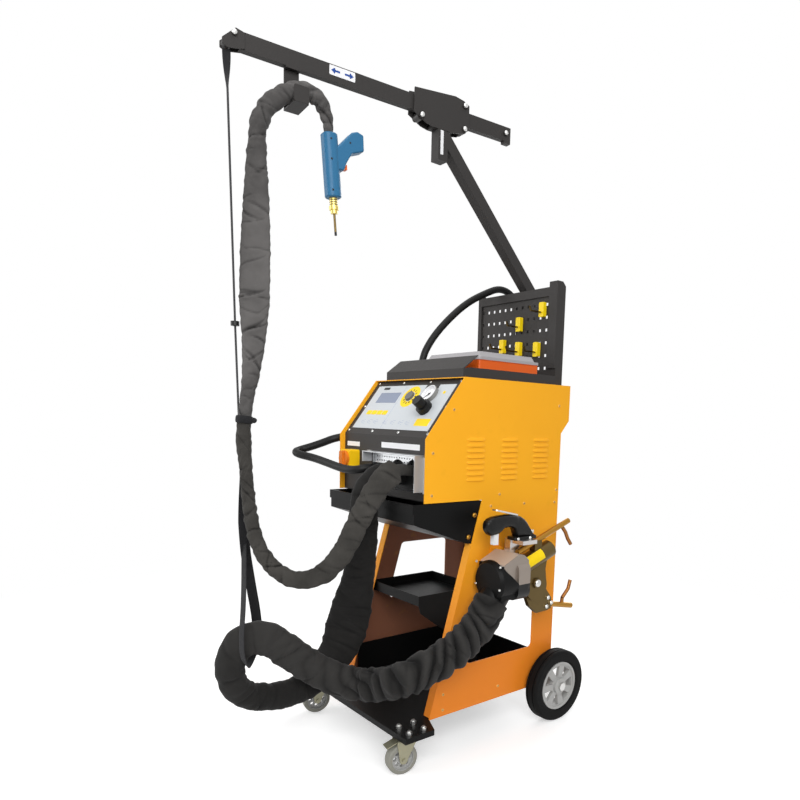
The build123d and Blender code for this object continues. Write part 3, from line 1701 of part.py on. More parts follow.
# The origin lies on the floor under the middle of the machine without its cords
boxes = [piece.part.bounding_box() for piece in machine.values()]
middle_x = (min(box.min.X for box in boxes) + max(box.max.X for box in boxes)) / 2
middle_y = (min(box.min.Y for box in boxes) + max(box.max.Y for box in boxes)) / 2
floor_z = min(box.min.Z for box in boxes)
print("origin", round(middle_x, 3), round(middle_y, 3), round(floor_z, 3))
os.makedirs("parts", exist_ok=True)
for name, piece in (machine | soft).items():
    piece.part.move(Location((-middle_x, -middle_y, -floor_z)))
    piece.part.label = name
    export_step(piece.part, f"parts/{name}.step")
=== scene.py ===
"""Dent pulling welder: finishes, cloth sleeves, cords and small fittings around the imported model.

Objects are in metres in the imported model's frame. Spots on the machine are written in millimetres from
its middle plane (x), the front edge of its cabinet (y) and the floor (z), and place() takes them there.
"""

from math import cos, pi, radians, sin

import bmesh
import bpy
import numpy as np
from mathutils import Matrix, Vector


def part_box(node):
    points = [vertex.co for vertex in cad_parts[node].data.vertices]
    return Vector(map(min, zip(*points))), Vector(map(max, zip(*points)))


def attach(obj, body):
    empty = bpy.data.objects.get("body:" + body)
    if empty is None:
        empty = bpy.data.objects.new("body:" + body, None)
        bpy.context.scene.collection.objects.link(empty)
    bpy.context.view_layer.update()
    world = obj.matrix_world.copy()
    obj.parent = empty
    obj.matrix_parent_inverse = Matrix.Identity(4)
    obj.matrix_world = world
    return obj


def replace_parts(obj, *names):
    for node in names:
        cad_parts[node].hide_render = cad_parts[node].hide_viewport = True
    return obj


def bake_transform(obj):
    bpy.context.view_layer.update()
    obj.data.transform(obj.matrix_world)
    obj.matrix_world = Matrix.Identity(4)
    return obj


bl_info = {
    "name": "Dent pulling welder",
    "version": (1, 0, 0),
    "blender": (4, 5, 0),
    "location": "View3D > Sidebar > Welder",
    "description": "Dresses the packed welder with its finishes, sleeves, cords and small fittings",
    "category": "Object",
}

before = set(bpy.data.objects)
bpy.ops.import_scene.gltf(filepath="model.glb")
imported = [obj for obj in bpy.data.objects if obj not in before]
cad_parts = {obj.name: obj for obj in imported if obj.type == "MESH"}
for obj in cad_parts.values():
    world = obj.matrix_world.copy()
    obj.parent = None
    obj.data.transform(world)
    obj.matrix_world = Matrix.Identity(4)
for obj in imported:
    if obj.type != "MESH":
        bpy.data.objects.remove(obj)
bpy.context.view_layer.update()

# The machine's own frame, read from its right cabinet panel
HALF_CABINET = 195.0
PANEL_LOW, PANEL_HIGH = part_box("cabinet_side_right")
ORIGIN = np.array((HALF_CABINET - 1000 * PANEL_HIGH.x, -1000 * PANEL_LOW.y, 0.0))
ACROSS = np.array((1.0, 0.0, 0.0))
UPRIGHT = np.array((0.0, 0.0, 1.0))
FACING = np.array((0.0, -1.0, 0.0))
VIEW_WAY = np.array((-0.748, 0.653, -0.116))

# Slanted desk, boom and guns: where each one's own frame lies
DESK_SPOT = np.array((0.0, 7.99, 779.98))
DESK_UP = np.array((0.0, 0.6017, 0.7987))
DESK_OUT = np.array((0.0, -0.7987, 0.6017))
OVERLAY_TOP = 0.8
PRINT_LOW, PRINT_HIGH = OVERLAY_TOP - 0.1, OVERLAY_TOP + 0.2
SWIVEL = radians(5.4)
BOOM_WAY = np.array((sin(SWIVEL), cos(SWIVEL), 0.0))
BOOM_SIDE = np.array((cos(SWIVEL), -sin(SWIVEL), 0.0))
MAST_TOP = np.array((0.0, 169.0, 0.0))
STUD_LEAN = radians(4.9)
STUD_ACROSS = BOOM_WAY * cos(STUD_LEAN) + UPRIGHT * sin(STUD_LEAN)
STUD_UP = UPRIGHT * cos(STUD_LEAN) - BOOM_WAY * sin(STUD_LEAN)
STUD_LENGTH = 138.0
GUN_X = 255.0


def place(points):
    """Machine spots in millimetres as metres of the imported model's frame."""
    return (np.asarray(points, float) - ORIGIN) / 1000.0


def on_boom(s, t, z):
    """Spot s along the boom from its swivel, t to its right, at height z."""
    return MAST_TOP + s * BOOM_WAY + t * BOOM_SIDE + z * UPRIGHT


def on_desk(x, v, out=0.0):
    """Spot x across and v up the slanted desk, raised by out."""
    return DESK_SPOT + x * ACROSS + v * DESK_UP + out * DESK_OUT


STUD_SPOT = on_boom(-299.0, 22.0, 1331.0)


def on_stud(a, b, out=0.0):
    """Spot a across and b up the stud gun's barrel, out towards its right side."""
    return STUD_SPOT + a * STUD_ACROSS + b * STUD_UP + out * BOOM_SIDE


# ---------------------------------------------------------------- what a user would change


def colour(name, description, rgb):
    """Colour property, its default written in display values from 0 to 255."""
    share = np.asarray(rgb, float) / 255.0
    linear = tuple(np.where(share <= 0.04045, share / 12.92, ((share + 0.055) / 1.055) ** 2.4))
    return bpy.props.FloatVectorProperty(
        name=name, description=description, default=linear, size=3, min=0.0, max=1.0, subtype="COLOR"
    )


def number(name, description, default, unit="NONE"):
    """Property with one number, not below zero."""
    return bpy.props.FloatProperty(name=name, description=description, default=default, min=0.0, unit=unit)


class PaintColours(bpy.types.PropertyGroup):
    """Colours of the coated, moulded and printed surfaces."""

    amber: colour("Amber", "Powder coat of the cabinet", (255, 178, 36))
    # Painted shade: the deeper orange the trolley panels take near the floor stands in for the light falling off
    # low down.
    painted_low_shade: colour("Tawny", "Powder coat of the trolley panels near the floor", (236, 134, 36))
    # Painted shade: the brown of the left trolley panel's inner face stands in for the shade inside the trolley.
    painted_inner_shade: colour("Umber", "Inner face of the left trolley panel", (140, 92, 70))
    graphite: colour("Graphite", "Coat of the front panel, mast, boom and pegboard", (55, 53, 52))
    soot: colour("Soot", "Coat of the pans and shelves", (14, 14, 14))
    membrane: colour("Membrane", "Ground of the control overlay", (200, 205, 209))
    screen: colour("Screen", "Display when it is off", (122, 134, 158))
    yellow: colour("Print yellow", "Dial ring, keys and plain plates", (250, 214, 16))
    # Also painted shade: the dark crosses of the panel screws and the dark screws and collet grooves of the stud
    # gun.
    ink_and_shade: colour("Ink", "Dark print and tick marks", (40, 40, 42))
    pale: colour("Pale", "Bare label plates", (238, 238, 240))
    arrow: colour("Arrow", "Arrows on the boom's plate", (34, 72, 148))
    gun: colour("Gun blue", "Shell of the stud gun", (44, 106, 146))
    trigger: colour("Trigger", "Trigger of the stud gun", (240, 108, 34))
    switch: colour("Switch yellow", "Box of the main switch", (255, 203, 20))
    handle: colour("Switch orange", "Handle of the main switch", (224, 124, 36))
    box: colour("Box orange", "Body of the organizer", (230, 98, 26))
    lid: colour("Lid", "Lid of the organizer", (164, 162, 164))
    rubber: colour("Rubber", "Tyres, cap and cables", (15, 15, 15))
    bezel: colour("Bezel", "Rims of the gauge and dial", (132, 132, 130))
    tread: colour("Castor tread", "Running surface of the castors", (136, 135, 126))
    spoke: colour("Spoke", "Wheel centres", (172, 172, 170))


class MetalColours(bpy.types.PropertyGroup):
    """Colours of bare and plated metal."""

    zinc: colour("Zinc", "Castor plates, axle, screws and nuts", (206, 206, 204))
    gilt: colour("Gilt", "Yellow passivated screws of the panels", (222, 178, 104))
    fork: colour("Fork", "Passivated castor forks", (146, 143, 122))
    steel: colour("Steel", "Guard and bar of the output bay", (196, 198, 200))
    brass: colour("Brass", "Tray bolts and the spot gun's rods", (164, 120, 50))
    copper: colour("Copper", "Electrodes", (146, 98, 54))
    collet: colour("Collet", "Pale brass of the stud gun's collet", (214, 192, 112))
    olive: colour("Olive", "Spot gun's arm and jaw, stud gun's rod and hook wires", (98, 82, 50))
    nickel: colour("Nickel", "Housing of the spot gun", (204, 190, 178))
    alloy: colour("Alloy", "Block between the spot gun and its handle", (206, 202, 200))


class ClothSizes(bpy.types.PropertyGroup):
    """Cloth of the sleeves and straps."""

    tint: colour("Cloth", "Grey cloth of the stud gun's sleeve", (84, 82, 81))
    # Painted shade: the tint of the lower length of the same sleeve, darker for the shade it hangs in.
    shadow: colour("Low cloth", "Darker cloth of the same sleeve below its tie", (62, 60, 57))
    dark: colour("Dark cloth", "Black cloth of the spot gun's sleeve", (38, 37, 36))
    webbing: colour("Webbing", "Strap and sling", (38, 38, 40))
    weave: number("Weave", "Pitch of the cloth's threads", 0.0015, "LENGTH")


class StageLight(bpy.types.PropertyGroup):
    """Lamps and background."""

    key: number("Key", "Lamp to the right of the camera", 84.0, "POWER")
    fill: number("Fill", "Lamp to the left of the camera", 40.0, "POWER")
    top: number("Top", "Lamp overhead", 22.0, "POWER")
    back: number("Back", "Lamp behind the machine", 46.0, "POWER")
    sky: number("Sky", "Light from all round", 0.26)


# ---------------------------------------------------------------- shader arithmetic


def math_node(operation, swapped=False):
    """A method that joins a wire and another value in a Math node."""

    def method(wire, other):
        first, second = (other, wire) if swapped else (wire, other)
        return wire.board.node("ShaderNodeMath", {"operation": operation}, {0: first, 1: second})

    return method


class Wire:
    """A shader socket that takes part in Python arithmetic: each operation adds one Math node."""

    def __init__(self, board, socket):
        self.board, self.socket = board, socket

    __add__ = __radd__ = math_node("ADD")
    __sub__, __rsub__ = math_node("SUBTRACT"), math_node("SUBTRACT", swapped=True)
    __mul__, __or__ = math_node("MULTIPLY"), math_node("MAXIMUM")
    __gt__, __lt__ = math_node("GREATER_THAN"), math_node("LESS_THAN")


class Board:
    """A node tree that is written as expressions."""

    def __init__(self, tree):
        self.tree = tree
        tree.nodes.clear()

    def node(self, kind, settings=None, inputs=None, out=0):
        """Add a node, set it, give its sockets values or links, and return one of its outputs."""
        made = self.tree.nodes.new(kind)
        for key, value in (settings or {}).items():
            setattr(made, key, value)
        for key, value in (inputs or {}).items():
            if isinstance(value, Wire):
                self.tree.links.new(value.socket, made.inputs[key])
            else:
                made.inputs[key].default_value = value
        return Wire(self, made.outputs[out]) if made.outputs else None

    def spot(self):
        """Object coordinates, in metres."""
        return self.node("ShaderNodeTexCoord", out="Object")

    def vector(self, operation, first, second=(0.0, 0.0, 0.0), out="Vector"):
        """Arithmetic of vectors."""
        return self.node("ShaderNodeVectorMath", {"operation": operation}, {0: first, 1: second}, out)

    def along(self, vector, way):
        """How far a vector reaches along a direction."""
        return self.vector("DOT_PRODUCT", vector, tuple(way), "Value")

    def wave(self, value):
        """Sine of a value."""
        return self.node("ShaderNodeMath", {"operation": "SINE"}, {0: value})

    def noise(self, scale, detail=3.0, vector=None):
        """Cloud of noise from 0 to 1, scale in lumps per metre."""
        inputs = {"Vector": vector or self.spot(), "Scale": scale, "Detail": detail}
        return self.node("ShaderNodeTexNoise", None, inputs, "Fac")

    def rise(self, value, low, high):
        """0 at low, 1 at high, straight between them."""
        inputs = {"Value": value, "From Min": low, "From Max": high}
        return self.node("ShaderNodeMapRange", {"clamp": True}, inputs)

    def mixed(self, share, first, second):
        """Colour from first to second."""
        full = [c if isinstance(c, Wire) else (*c, 1.0) for c in (first, second)]
        return self.node("ShaderNodeMix", {"data_type": "RGBA"}, {0: share, 6: full[0], 7: full[1]}, 2)

    def bump(self, height, depth):
        """Normal of a surface raised by height times depth."""
        inputs = {"Height": height, "Distance": depth, "Strength": 1.0}
        return self.node("ShaderNodeBump", None, inputs, "Normal")

    def seen(self, *kinds):
        """1 for some kinds of ray, such as Camera."""
        share = self.node("ShaderNodeLightPath", out="Is %s Ray" % kinds[0])
        for kind in kinds[1:]:
            share = share | self.node("ShaderNodeLightPath", out="Is %s Ray" % kind)
        return share

    def show(self, shader, output="Material"):
        """Send a shader to the tree's output."""
        self.node("ShaderNodeOutput" + output, None, {"Surface": shader})


def blank(name):
    """A material without nodes, and the board for them."""
    material = bpy.data.materials.new(name)
    material.use_nodes = True
    return material, Board(material.node_tree)


def shade(rgb, share):
    """A colour made darker or lighter."""
    return tuple(min(1.0, c * share) for c in rgb)


def beyond(spot, way):
    """Zone past a plane through a machine spot, square to a direction."""
    edge = float(place(spot) @ np.asarray(way))
    return lambda board: board.along(board.spot(), way) > edge


def below(high, low):
    """Zone that grows from nothing at one height to full at a lower one, in millimetres."""
    return lambda board: 1 - board.rise(board.along(board.spot(), UPRIGHT), low / 1000.0, high / 1000.0)


def near_line(spot, way, radius):
    """Zone closer than a radius in millimetres to a line through a machine spot."""

    def zone(board):
        arm = board.vector("SUBTRACT", board.spot(), tuple(place(spot)))
        across = board.vector("CROSS_PRODUCT", arm, tuple(way))
        return board.vector("LENGTH", across, out="Value") < radius / 1000.0

    return zone


def both(first, second):
    """Zone that lies in two zones."""
    return lambda board: first(board) * second(board)


def finish(
    name, tint, metal=0.0, rough=0.45, grain=900.0, depth=0.00008, cloud=0.08,
    brush=None, zones=(), coat=0.0, gloss=0.3,
):
    """Material of a hard surface: a tint that drifts with a slow cloud of noise, a fine grain as bump and
    roughness, a few scuffs, and zones of another tint, metal and roughness. brush stretches the grain."""
    material, board = blank(name)
    drift = board.noise(9.0)
    speck = board.noise(grain, 2.0, board.vector("MULTIPLY", board.spot(), brush) if brush else None)
    scuff = board.rise(board.noise(38.0, 6.0), 0.62, 0.74) * 0.12

    def drifting(rgb):
        return board.mixed(drift, shade(rgb, 1 - cloud), shade(rgb, 1 + cloud))

    base, shine, matte = drifting(tint), metal, rough
    for zone, other, other_metal, other_rough in zones:
        share = zone(board)
        base = board.mixed(share, base, drifting(other))
        shine = shine + share * (other_metal - shine)
        matte = matte + share * (other_rough - matte)
    sockets = {
        "Base Color": board.mixed(scuff, base, shade(tint, 1.5 if max(tint) < 0.2 else 0.75)),
        "Metallic": shine,
        "Roughness": matte + (speck - 0.5) * 0.12 + scuff * 0.5,
        "Normal": board.bump(speck, depth),
        "Coat Weight": coat,
        "Coat Roughness": 0.12,
        "Specular IOR Level": gloss,
    }
    board.show(board.node("ShaderNodeBsdfPrincipled", None, sockets))
    return material


def cloth(name, tint, pitch):
    """Woven cloth: two crossed sines of the surface's own u and v make threads, noise fades the tint, and the
    tone kept at each spot paints shade into its creases and shaded lengths and paints light onto faces drawn
    paler."""
    material, board = blank(name)
    flat = board.node("ShaderNodeTexCoord", out="UV")
    turns = 2 * pi / pitch
    warp, weft = (board.wave(board.along(flat, way)) for way in ((turns, 0, 0), (0, turns, 0)))
    thread = warp * weft * 0.5 + 0.5
    drift = board.rise(board.noise(15.0, 5.0), 0.3, 0.7)
    dust = board.rise(board.noise(110.0, 6.0), 0.55, 0.8)
    tone = board.node("ShaderNodeAttribute", {"attribute_name": "tone"}, out="Fac")
    # Painted shade and light: positive tone darkens creases and shaded lengths of cloth, negative pales lit
    # faces.
    crease_shade, painted_light = board.rise(tone, 0.0, 1.0), board.rise(tone, 0.0, -1.0)
    base = board.mixed(drift, shade(tint, 0.7), shade(tint, 1.3))
    layers = ((thread * 0.22, 0.5), (dust * 0.2, 1.6), (crease_shade * 0.85, 0.15), (painted_light * 0.85, 2.6))
    for share, strength in layers:
        base = board.mixed(share, base, shade(tint, strength))
    sockets = {
        "Base Color": base,
        "Roughness": 0.78 + thread * 0.14,
        "Normal": board.bump(thread + drift * 0.4, pitch * 0.1),
        "Sheen Weight": 0.06,
        "Sheen Roughness": 0.5,
        "Specular IOR Level": 0.16,
    }
    board.show(board.node("ShaderNodeBsdfPrincipled", None, sockets))
    return material


def dress(material, *nodes):
    """Give CAD nodes a finish."""
    for node in nodes:
        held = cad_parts[node].data.materials
        held.clear()
        held.append(material)


# ---------------------------------------------------------------- shapes as arrays


def linked(name, data):
    """A new object in the scene."""
    made = bpy.data.objects.new(name, data)
    bpy.context.scene.collection.objects.link(made)
    return made


class Stock:
    """Shells of one piece, gathered as arrays of machine spots and put into one mesh."""

    def __init__(self):
        self.points, self.faces, self.flats, self.tones, self.count = [], [], [], [], 0

    def skin(self, grid, loop=False, tone=None):
        """Quads between the rows of a grid of spots, each row a ring. loop joins the last ring to the first,
        and otherwise a fan to its middle fills each of those two.
        The flat map holds the mean length along the rows and along the columns, in metres. tone is kept at each
        spot as painted light and shade, from -1 for a painted highlight to 1 for painted shade in creases."""
        grid = place(grid)
        rows, columns = grid.shape[:2]
        index = self.count + np.arange(rows * columns).reshape(rows, columns)
        whole = grid
        if loop:
            index, whole = np.vstack([index, index[:1]]), np.concatenate([whole, whole[:1]])
        index, whole = np.hstack([index, index[:, :1]]), np.concatenate([whole, whole[:, :1]], 1)
        long = np.linalg.norm(np.diff(whole, axis=0), axis=2).mean(1)
        wide = np.linalg.norm(np.diff(whole, axis=1), axis=2).mean(0)
        flat = np.stack(np.meshgrid(np.r_[0, long.cumsum()], np.r_[0, wide.cumsum()], indexing="ij"), -1)

        def corners(a):
            return np.stack([a[:-1, :-1], a[1:, :-1], a[1:, 1:], a[:-1, 1:]], 2).reshape(-1, 4, *a.shape[2:])

        self.points.append(grid.reshape(-1, 3))
        self.tones.append(np.zeros(rows * columns) if tone is None else tone.ravel())
        self.faces += corners(index).tolist()
        self.flats.append(corners(flat).reshape(-1, 2))
        self.count += rows * columns
        for row in () if loop else (0, -1):
            self.points.append(grid[row].mean(0)[None])
            self.tones.append(np.zeros(1))
            middle = np.full(columns, self.count)
            self.faces += np.stack([index[row, :-1], index[row, 1:], middle], 1).tolist()
            hub = np.full((columns, 2), flat[row].mean(0))
            self.flats.append(np.stack([flat[row, :-1], flat[row, 1:], hub], 1).reshape(-1, 2))
            self.count += 1

    def piece(self, name, material, body=None, smooth=38.0):
        """The gathered shells as one object with outward faces, which rides a body. The stock is then empty."""
        mesh = bpy.data.meshes.new(name)
        mesh.from_pydata(np.concatenate(self.points).tolist(), [], self.faces)
        layer = mesh.uv_layers.new(name="flat")
        layer.data.foreach_set("uv", np.concatenate(self.flats).ravel())
        shells = bmesh.new()
        shells.from_mesh(mesh)
        bmesh.ops.recalc_face_normals(shells, faces=shells.faces)
        shells.to_mesh(mesh)
        shells.free()
        mesh.attributes.new("tone", "FLOAT", "POINT").data.foreach_set("value", np.concatenate(self.tones))
        mesh.polygons.foreach_set("use_smooth", np.ones(len(mesh.polygons), bool))
        mesh.set_sharp_from_angle(angle=radians(smooth))
        mesh.materials.append(material)
        self.__init__()
        made = linked(name, mesh)
        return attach(made, body) if body else made


def unit(way):
    """A direction, or each of several, with length one."""
    way = np.asarray(way, float)
    return way / np.linalg.norm(way, axis=-1, keepdims=True)


def square_to(way):
    """Two unit directions square to a direction and to each other."""
    way = unit(way)
    first = unit(np.cross(way, UPRIGHT if abs(way[2]) < 0.9 else ACROSS))
    return first, np.cross(way, first)


def rounded(width, height, corner, steps=6):
    """Outline of a rounded rectangle: four quarter circles about its corner centres, in turn."""
    angle = np.linspace(0, pi / 2, steps) + np.arange(4)[:, None] * pi / 2
    x = np.array((1, -1, -1, 1))[:, None] * (width / 2 - corner) + corner * np.cos(angle)
    y = np.array((1, 1, -1, -1))[:, None] * (height / 2 - corner) + corner * np.sin(angle)
    return np.stack([x.ravel(), y.ravel()], 1)


def plate(stock, middle, right, up, outline, low, high, rim=0.12):
    """Plate: an outline carried from low to high, square to right and up, its top drawn in a little."""
    out = np.cross(right, up)
    inset = 1 - rim / np.abs(outline).max()
    rows = [(1.0, low), (1.0, high - rim), (inset, high)]
    flat = [s * (outline[:, :1] * right + outline[:, 1:] * up) + h * out for s, h in rows]
    stock.skin(np.asarray(middle) + np.array(flat))


def tile(stock, x, v, outline, high=PRINT_HIGH, rim=0.12):
    """Plate on the desk's overlay."""
    plate(stock, on_desk(x, v), ACROSS, DESK_UP, outline, PRINT_LOW, high, rim)


def turned(stock, middle, axis, profile, sides, closed=False):
    """Turned part: (radius, height) pairs carried round an axis through middle. closed joins the last
    pair to the first, which makes a ring."""
    first, second = square_to(axis)
    angle = np.linspace(0, 2 * pi, sides, endpoint=False)[:, None]
    spoke = np.cos(angle) * first + np.sin(angle) * second
    radius, height = np.asarray(profile, float).T
    grid = radius[:, None, None] * spoke + height[:, None, None] * unit(axis)
    stock.skin(np.asarray(middle) + grid, loop=closed)


def ring(stock, middle, axis, inner, outer, low, high, sides):
    """Flat ring: a rectangle turned about an axis."""
    turned(stock, middle, axis, [(inner, low), (outer, low), (outer, high), (inner, high)], sides, closed=True)


def socket_screw(stock, middle, axis, radius, height):
    """Cap screw: a turned head with a rounded rim and a hollow in its top."""
    rim = radius * 0.18
    profile = [(radius, -0.2), (radius, height - rim), (radius - rim, height)]
    turned(stock, middle, axis, profile + [(radius * 0.55, height), (radius * 0.5, height * 0.5)], 20)


def dome(stock, middle, axis, radius, height):
    """Dome nut: a quarter of an ellipse turned about its axis, on a short wall."""
    angle = np.linspace(0, 1.45, 7)
    profile = np.stack([radius * np.cos(angle), height * (0.25 + 0.75 * np.sin(angle))], 1)
    turned(stock, middle, axis, [(radius, -0.2), *profile], 18)


def spline_curve(name, route):
    """A curve with one open NURBS spline of order 3 whose control points are the machine spots of a route."""
    spots = place(route)
    curve = bpy.data.curves.new(name, "CURVE")
    curve.dimensions = "3D"
    curve.resolution_u = 20
    spline = curve.splines.new("NURBS")
    spline.points.add(len(spots) - 1)
    spline.points.foreach_set("co", np.c_[spots, np.ones(len(spots))].ravel())
    spline.order_u = 3
    spline.use_endpoint_u = True
    return curve


def smooth_line(route, step):
    """Machine spots set evenly along a route's spline, and the run along it at each of them."""
    curve = spline_curve("line", route)
    held = linked("line", curve)
    bpy.context.view_layer.update()
    mesh = bpy.data.meshes.new_from_object(held)
    line = np.empty(3 * len(mesh.vertices))
    mesh.vertices.foreach_get("co", line)
    bpy.data.objects.remove(held)
    bpy.data.curves.remove(curve)
    bpy.data.meshes.remove(mesh)
    line = line.reshape(-1, 3) * 1000.0 + ORIGIN
    run = np.r_[0, np.linalg.norm(np.diff(line, axis=0), axis=1).cumsum()]
    at = np.linspace(0, run[-1], int(run[-1] / step) + 1)
    return np.stack([np.interp(at, run, line[:, i]) for i in range(3)], 1), at


def carried(line, start):
    """Two directions square to a line, carried along it without twisting."""
    way = unit(np.gradient(line, axis=0))
    first = np.empty_like(way)
    held = np.asarray(start, float)
    for i, ahead in enumerate(way):
        held = unit(held - ahead * (held @ ahead))
        first[i] = held
    return first, np.cross(way, first)


def spread(line):
    """Directions along a line, and two square to it: across the camera's view, and into it. Cloth that lies
    flat against the view is wide along the first and thin along the second."""
    way = unit(np.gradient(line, axis=0))
    wide = unit(np.cross(way, VIEW_WAY))
    return way, wide, np.cross(way, wide)


def off_turn(turn, about):
    """How far each turn round a sleeve is from one of them, from -pi to pi."""
    return ((turn - about + pi) % (2 * pi) - pi)[None]


def creases(rng, run, turn, count, longest):
    """Folds of slack cloth: each is a patch that fades out along the sleeve and round it, within which
    the cloth rises as the absolute sine of the distance, leaned by a tilt, so bulges meet in sharp
    valleys. The sum of all patches is returned, about -0.6 to 0.4 where they are dense."""
    total = np.zeros((len(run), len(turn)))
    for _ in range(count):
        middle, about = rng.uniform(run[0], run[-1]), rng.uniform(0, 2 * pi)
        reach, wide = rng.uniform(30, 80), rng.uniform(0.7, 1.8)
        pitch, lean = rng.uniform(26, longest), rng.uniform(-30.0, 30.0)
        along, round_ = (run - middle)[:, None], off_turn(turn, about)
        fade = np.exp(-((along / reach) ** 2) - (round_ / wide) ** 2)
        total += fade * (np.abs(np.sin(pi * (along + lean * round_) / pitch)) - 0.62)
    return total


def pleats(rng, run, turn, spacing, width):
    """Sharp creases of cloth that lies flat: each is a valley across the sleeve whose depth falls off as
    a cusp, exp of minus the distance over a width, beside a low ridge, and fades out round the sleeve."""
    total = np.zeros((len(run), len(turn)))
    for _ in range(int((run[-1] - run[0]) / spacing)):
        middle, about = rng.uniform(run[0], run[-1]), rng.choice((0.5, 1.5)) * pi + rng.uniform(-1.1, 1.1)
        lean, sharp, wide = rng.uniform(-20.0, 20.0), rng.uniform(0.6, 1.5) * width, rng.uniform(0.8, 2.2)
        round_ = off_turn(turn, about)
        off = (run - middle)[:, None] + lean * round_ + 2.0 * np.sin(2.3 * round_)
        fall = np.exp(-np.abs(off) / sharp) - 0.55 * np.exp(-(((off - 2.6 * sharp) / (1.6 * sharp)) ** 2))
        total -= rng.uniform(0.35, 1.0) * np.exp(-((round_ / wide) ** 2)) * fall
    return total


def ripple(rng, run, lengths):
    """Uneven edge of cloth: sines of the run with seeded phases, from -1 to 1."""
    waves = [np.sin(2 * pi * run / length + rng.uniform(0, 2 * pi)) for length in lengths]
    return sum(waves) / len(waves)


def sewn(line, turn, half_wide, half_deep, swell, squareness):
    """Flattened tube about a line: the cosine of the turn across, and the sine through with its sides
    raised to a power below one, so that the wide faces lie flat. swell lifts the faces."""
    _, wide, deep = spread(line)
    across = (half_wide[:, None] + 0.5 * swell) * np.cos(turn)
    rise = np.sign(np.sin(turn)) * np.abs(np.sin(turn)) ** squareness[:, None]
    through = half_deep[:, None] * rise + swell * np.sin(turn)
    return line[:, None] + across[..., None] * wide[:, None] + through[..., None] * deep[:, None]


def free_cord(made, node):
    """Hide the CAD node whose place a cloth piece takes."""
    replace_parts(made, node)


# ---------------------------------------------------------------- pieces


class Dresser:
    """What every operator but the stage shares."""

    bl_options = {"REGISTER", "UNDO"}

    def execute(self, context):
        scene = context.scene
        self.make(scene.welder_paint, scene.welder_metal, scene.welder_cloth)
        return {"FINISHED"}


class WELDER_OT_paintwork(Dresser, bpy.types.Operator):
    """Coat the cabinet, trolley, mast and boom, and paint shade into the crosses of their screws"""

    bl_idname = "welder.paintwork"
    bl_label = "Paintwork"

    def make(self, paint, metal, textile):
        def powder(name, *zones):
            return finish(name, paint.amber, 0.0, 0.46, 700.0, 0.0001, 0.03, zones=zones, gloss=0.22)

        amber = powder("amber_coat")
        dress(amber, "cabinet_side_right", "cabinet_side_left", "cabinet_top", "cabinet_rear")
        # Painted shade: the inner face of the left trolley panel, behind its front edge, is drawn brown.
        inner = both(beyond((-194.2, 0, 0), ACROSS), beyond((0, 33, 99), (0.0, 0.9627, -0.2706)))
        # Painted shade: both trolley panels darken from amber to a deeper orange between 640 and 220 mm above
        # the floor.
        low = (below(640.0, 220.0), paint.painted_low_shade, 0.0, 0.46)
        dress(powder("trolley_right", low), "trolley_side_right")
        dress(powder("trolley_left", low, (inner, paint.painted_inner_shade, 0.0, 0.5)), "trolley_side_left")
        self.press_louvres(amber)
        graphite = finish("graphite_coat", paint.graphite, rough=0.5, grain=1400.0, depth=0.00012, gloss=0.16)
        dress(graphite, "front_panel", "top_tray", "pegboard", "mast", "boom_head", "boom_arm", "sleeve_cradle")
        soot = finish("soot_coat", paint.soot, rough=0.4, grain=1100.0, depth=0.00012, gloss=0.1)
        dress(soot, "base_pan", "tool_shelf", "front_tray", "cabinet_floor", "fan_rotor", "transformer")
        front = (beyond(on_desk(0, 0), DESK_OUT), metal.zinc, 1.0, 0.3)
        dress(finish("panel_screws", metal.gilt, 0.5, 0.36, 2500.0, zones=(front,)), "panel_screws")
        self.paint_cross_shade(paint)

    def press_louvres(self, amber):
        """Hoods over the slots of both sides: a crescent in height and out from the panel, carried along
        the slot and shrunk to nothing at both ends as the root of one minus the sixth power."""
        lip = [(0, 6.2), (0.7, 5.2), (1.7, 2.8), (2.5, 0.2), (2.9, -2.6), (2.3, -2.9), (1.5, -0.4), (0.2, 2.2)]
        out, up = np.array(lip).T[:, None, :, None]
        half_slot, column_pitch, row_pitch = 30.5, 115.75, 14.1
        along = np.linspace(-1, 1, 15)[:, None, None]
        size = np.sqrt(np.maximum(1 - along**6, 0.001))
        stock = Stock()
        for sign in (1, -1):
            shape = size * (out * sign * ACROSS + up * UPRIGHT) - half_slot * along * FACING
            for column in (-1, 0, 1):
                for row in range(8):
                    middle = (sign * 194.9, 272 + column_pitch * column, 736.5 + row_pitch * (row - 3.5))
                    stock.skin(np.array(middle) + shape)
        stock.piece("louvre_hoods", amber, "frame", 60.0)

    def paint_cross_shade(self, paint):
        """Painted shade: two dark crossed bars in the top of each screw of the side panels and the desk stand in
        for the shade in its cross recess.
        """
        sides = [(82, 857), (22, 754), (21, 654), (452, 880), (240, 648), (455, 650)]
        sides += [(211, 619), (331, 619), (450, 616), (72, 155), (72, 115), (259, 132)]
        desk = [(x, v) for v in (22.0, 184.8) for x in (-183, -65, 53, 175)] + [(-181, 103), (181, 103)]
        spots = [((sign * 197.0, y, z), -sign * FACING, UPRIGHT) for sign in (1, -1) for y, z in sides]
        spots += [(on_desk(x, v, 2.0), ACROSS, DESK_UP) for x, v in desk]
        stock = Stock()
        for middle, right, up in spots:
            for width, height in ((4.2, 0.9), (0.9, 4.2)):
                plate(stock, middle, right, up, rounded(width, height, 0.2, 2), -0.3, 0.12, 0.05)
        stock.piece("screw_crosses", finish("screw_shadow", paint.ink_and_shade, rough=0.7), "frame")


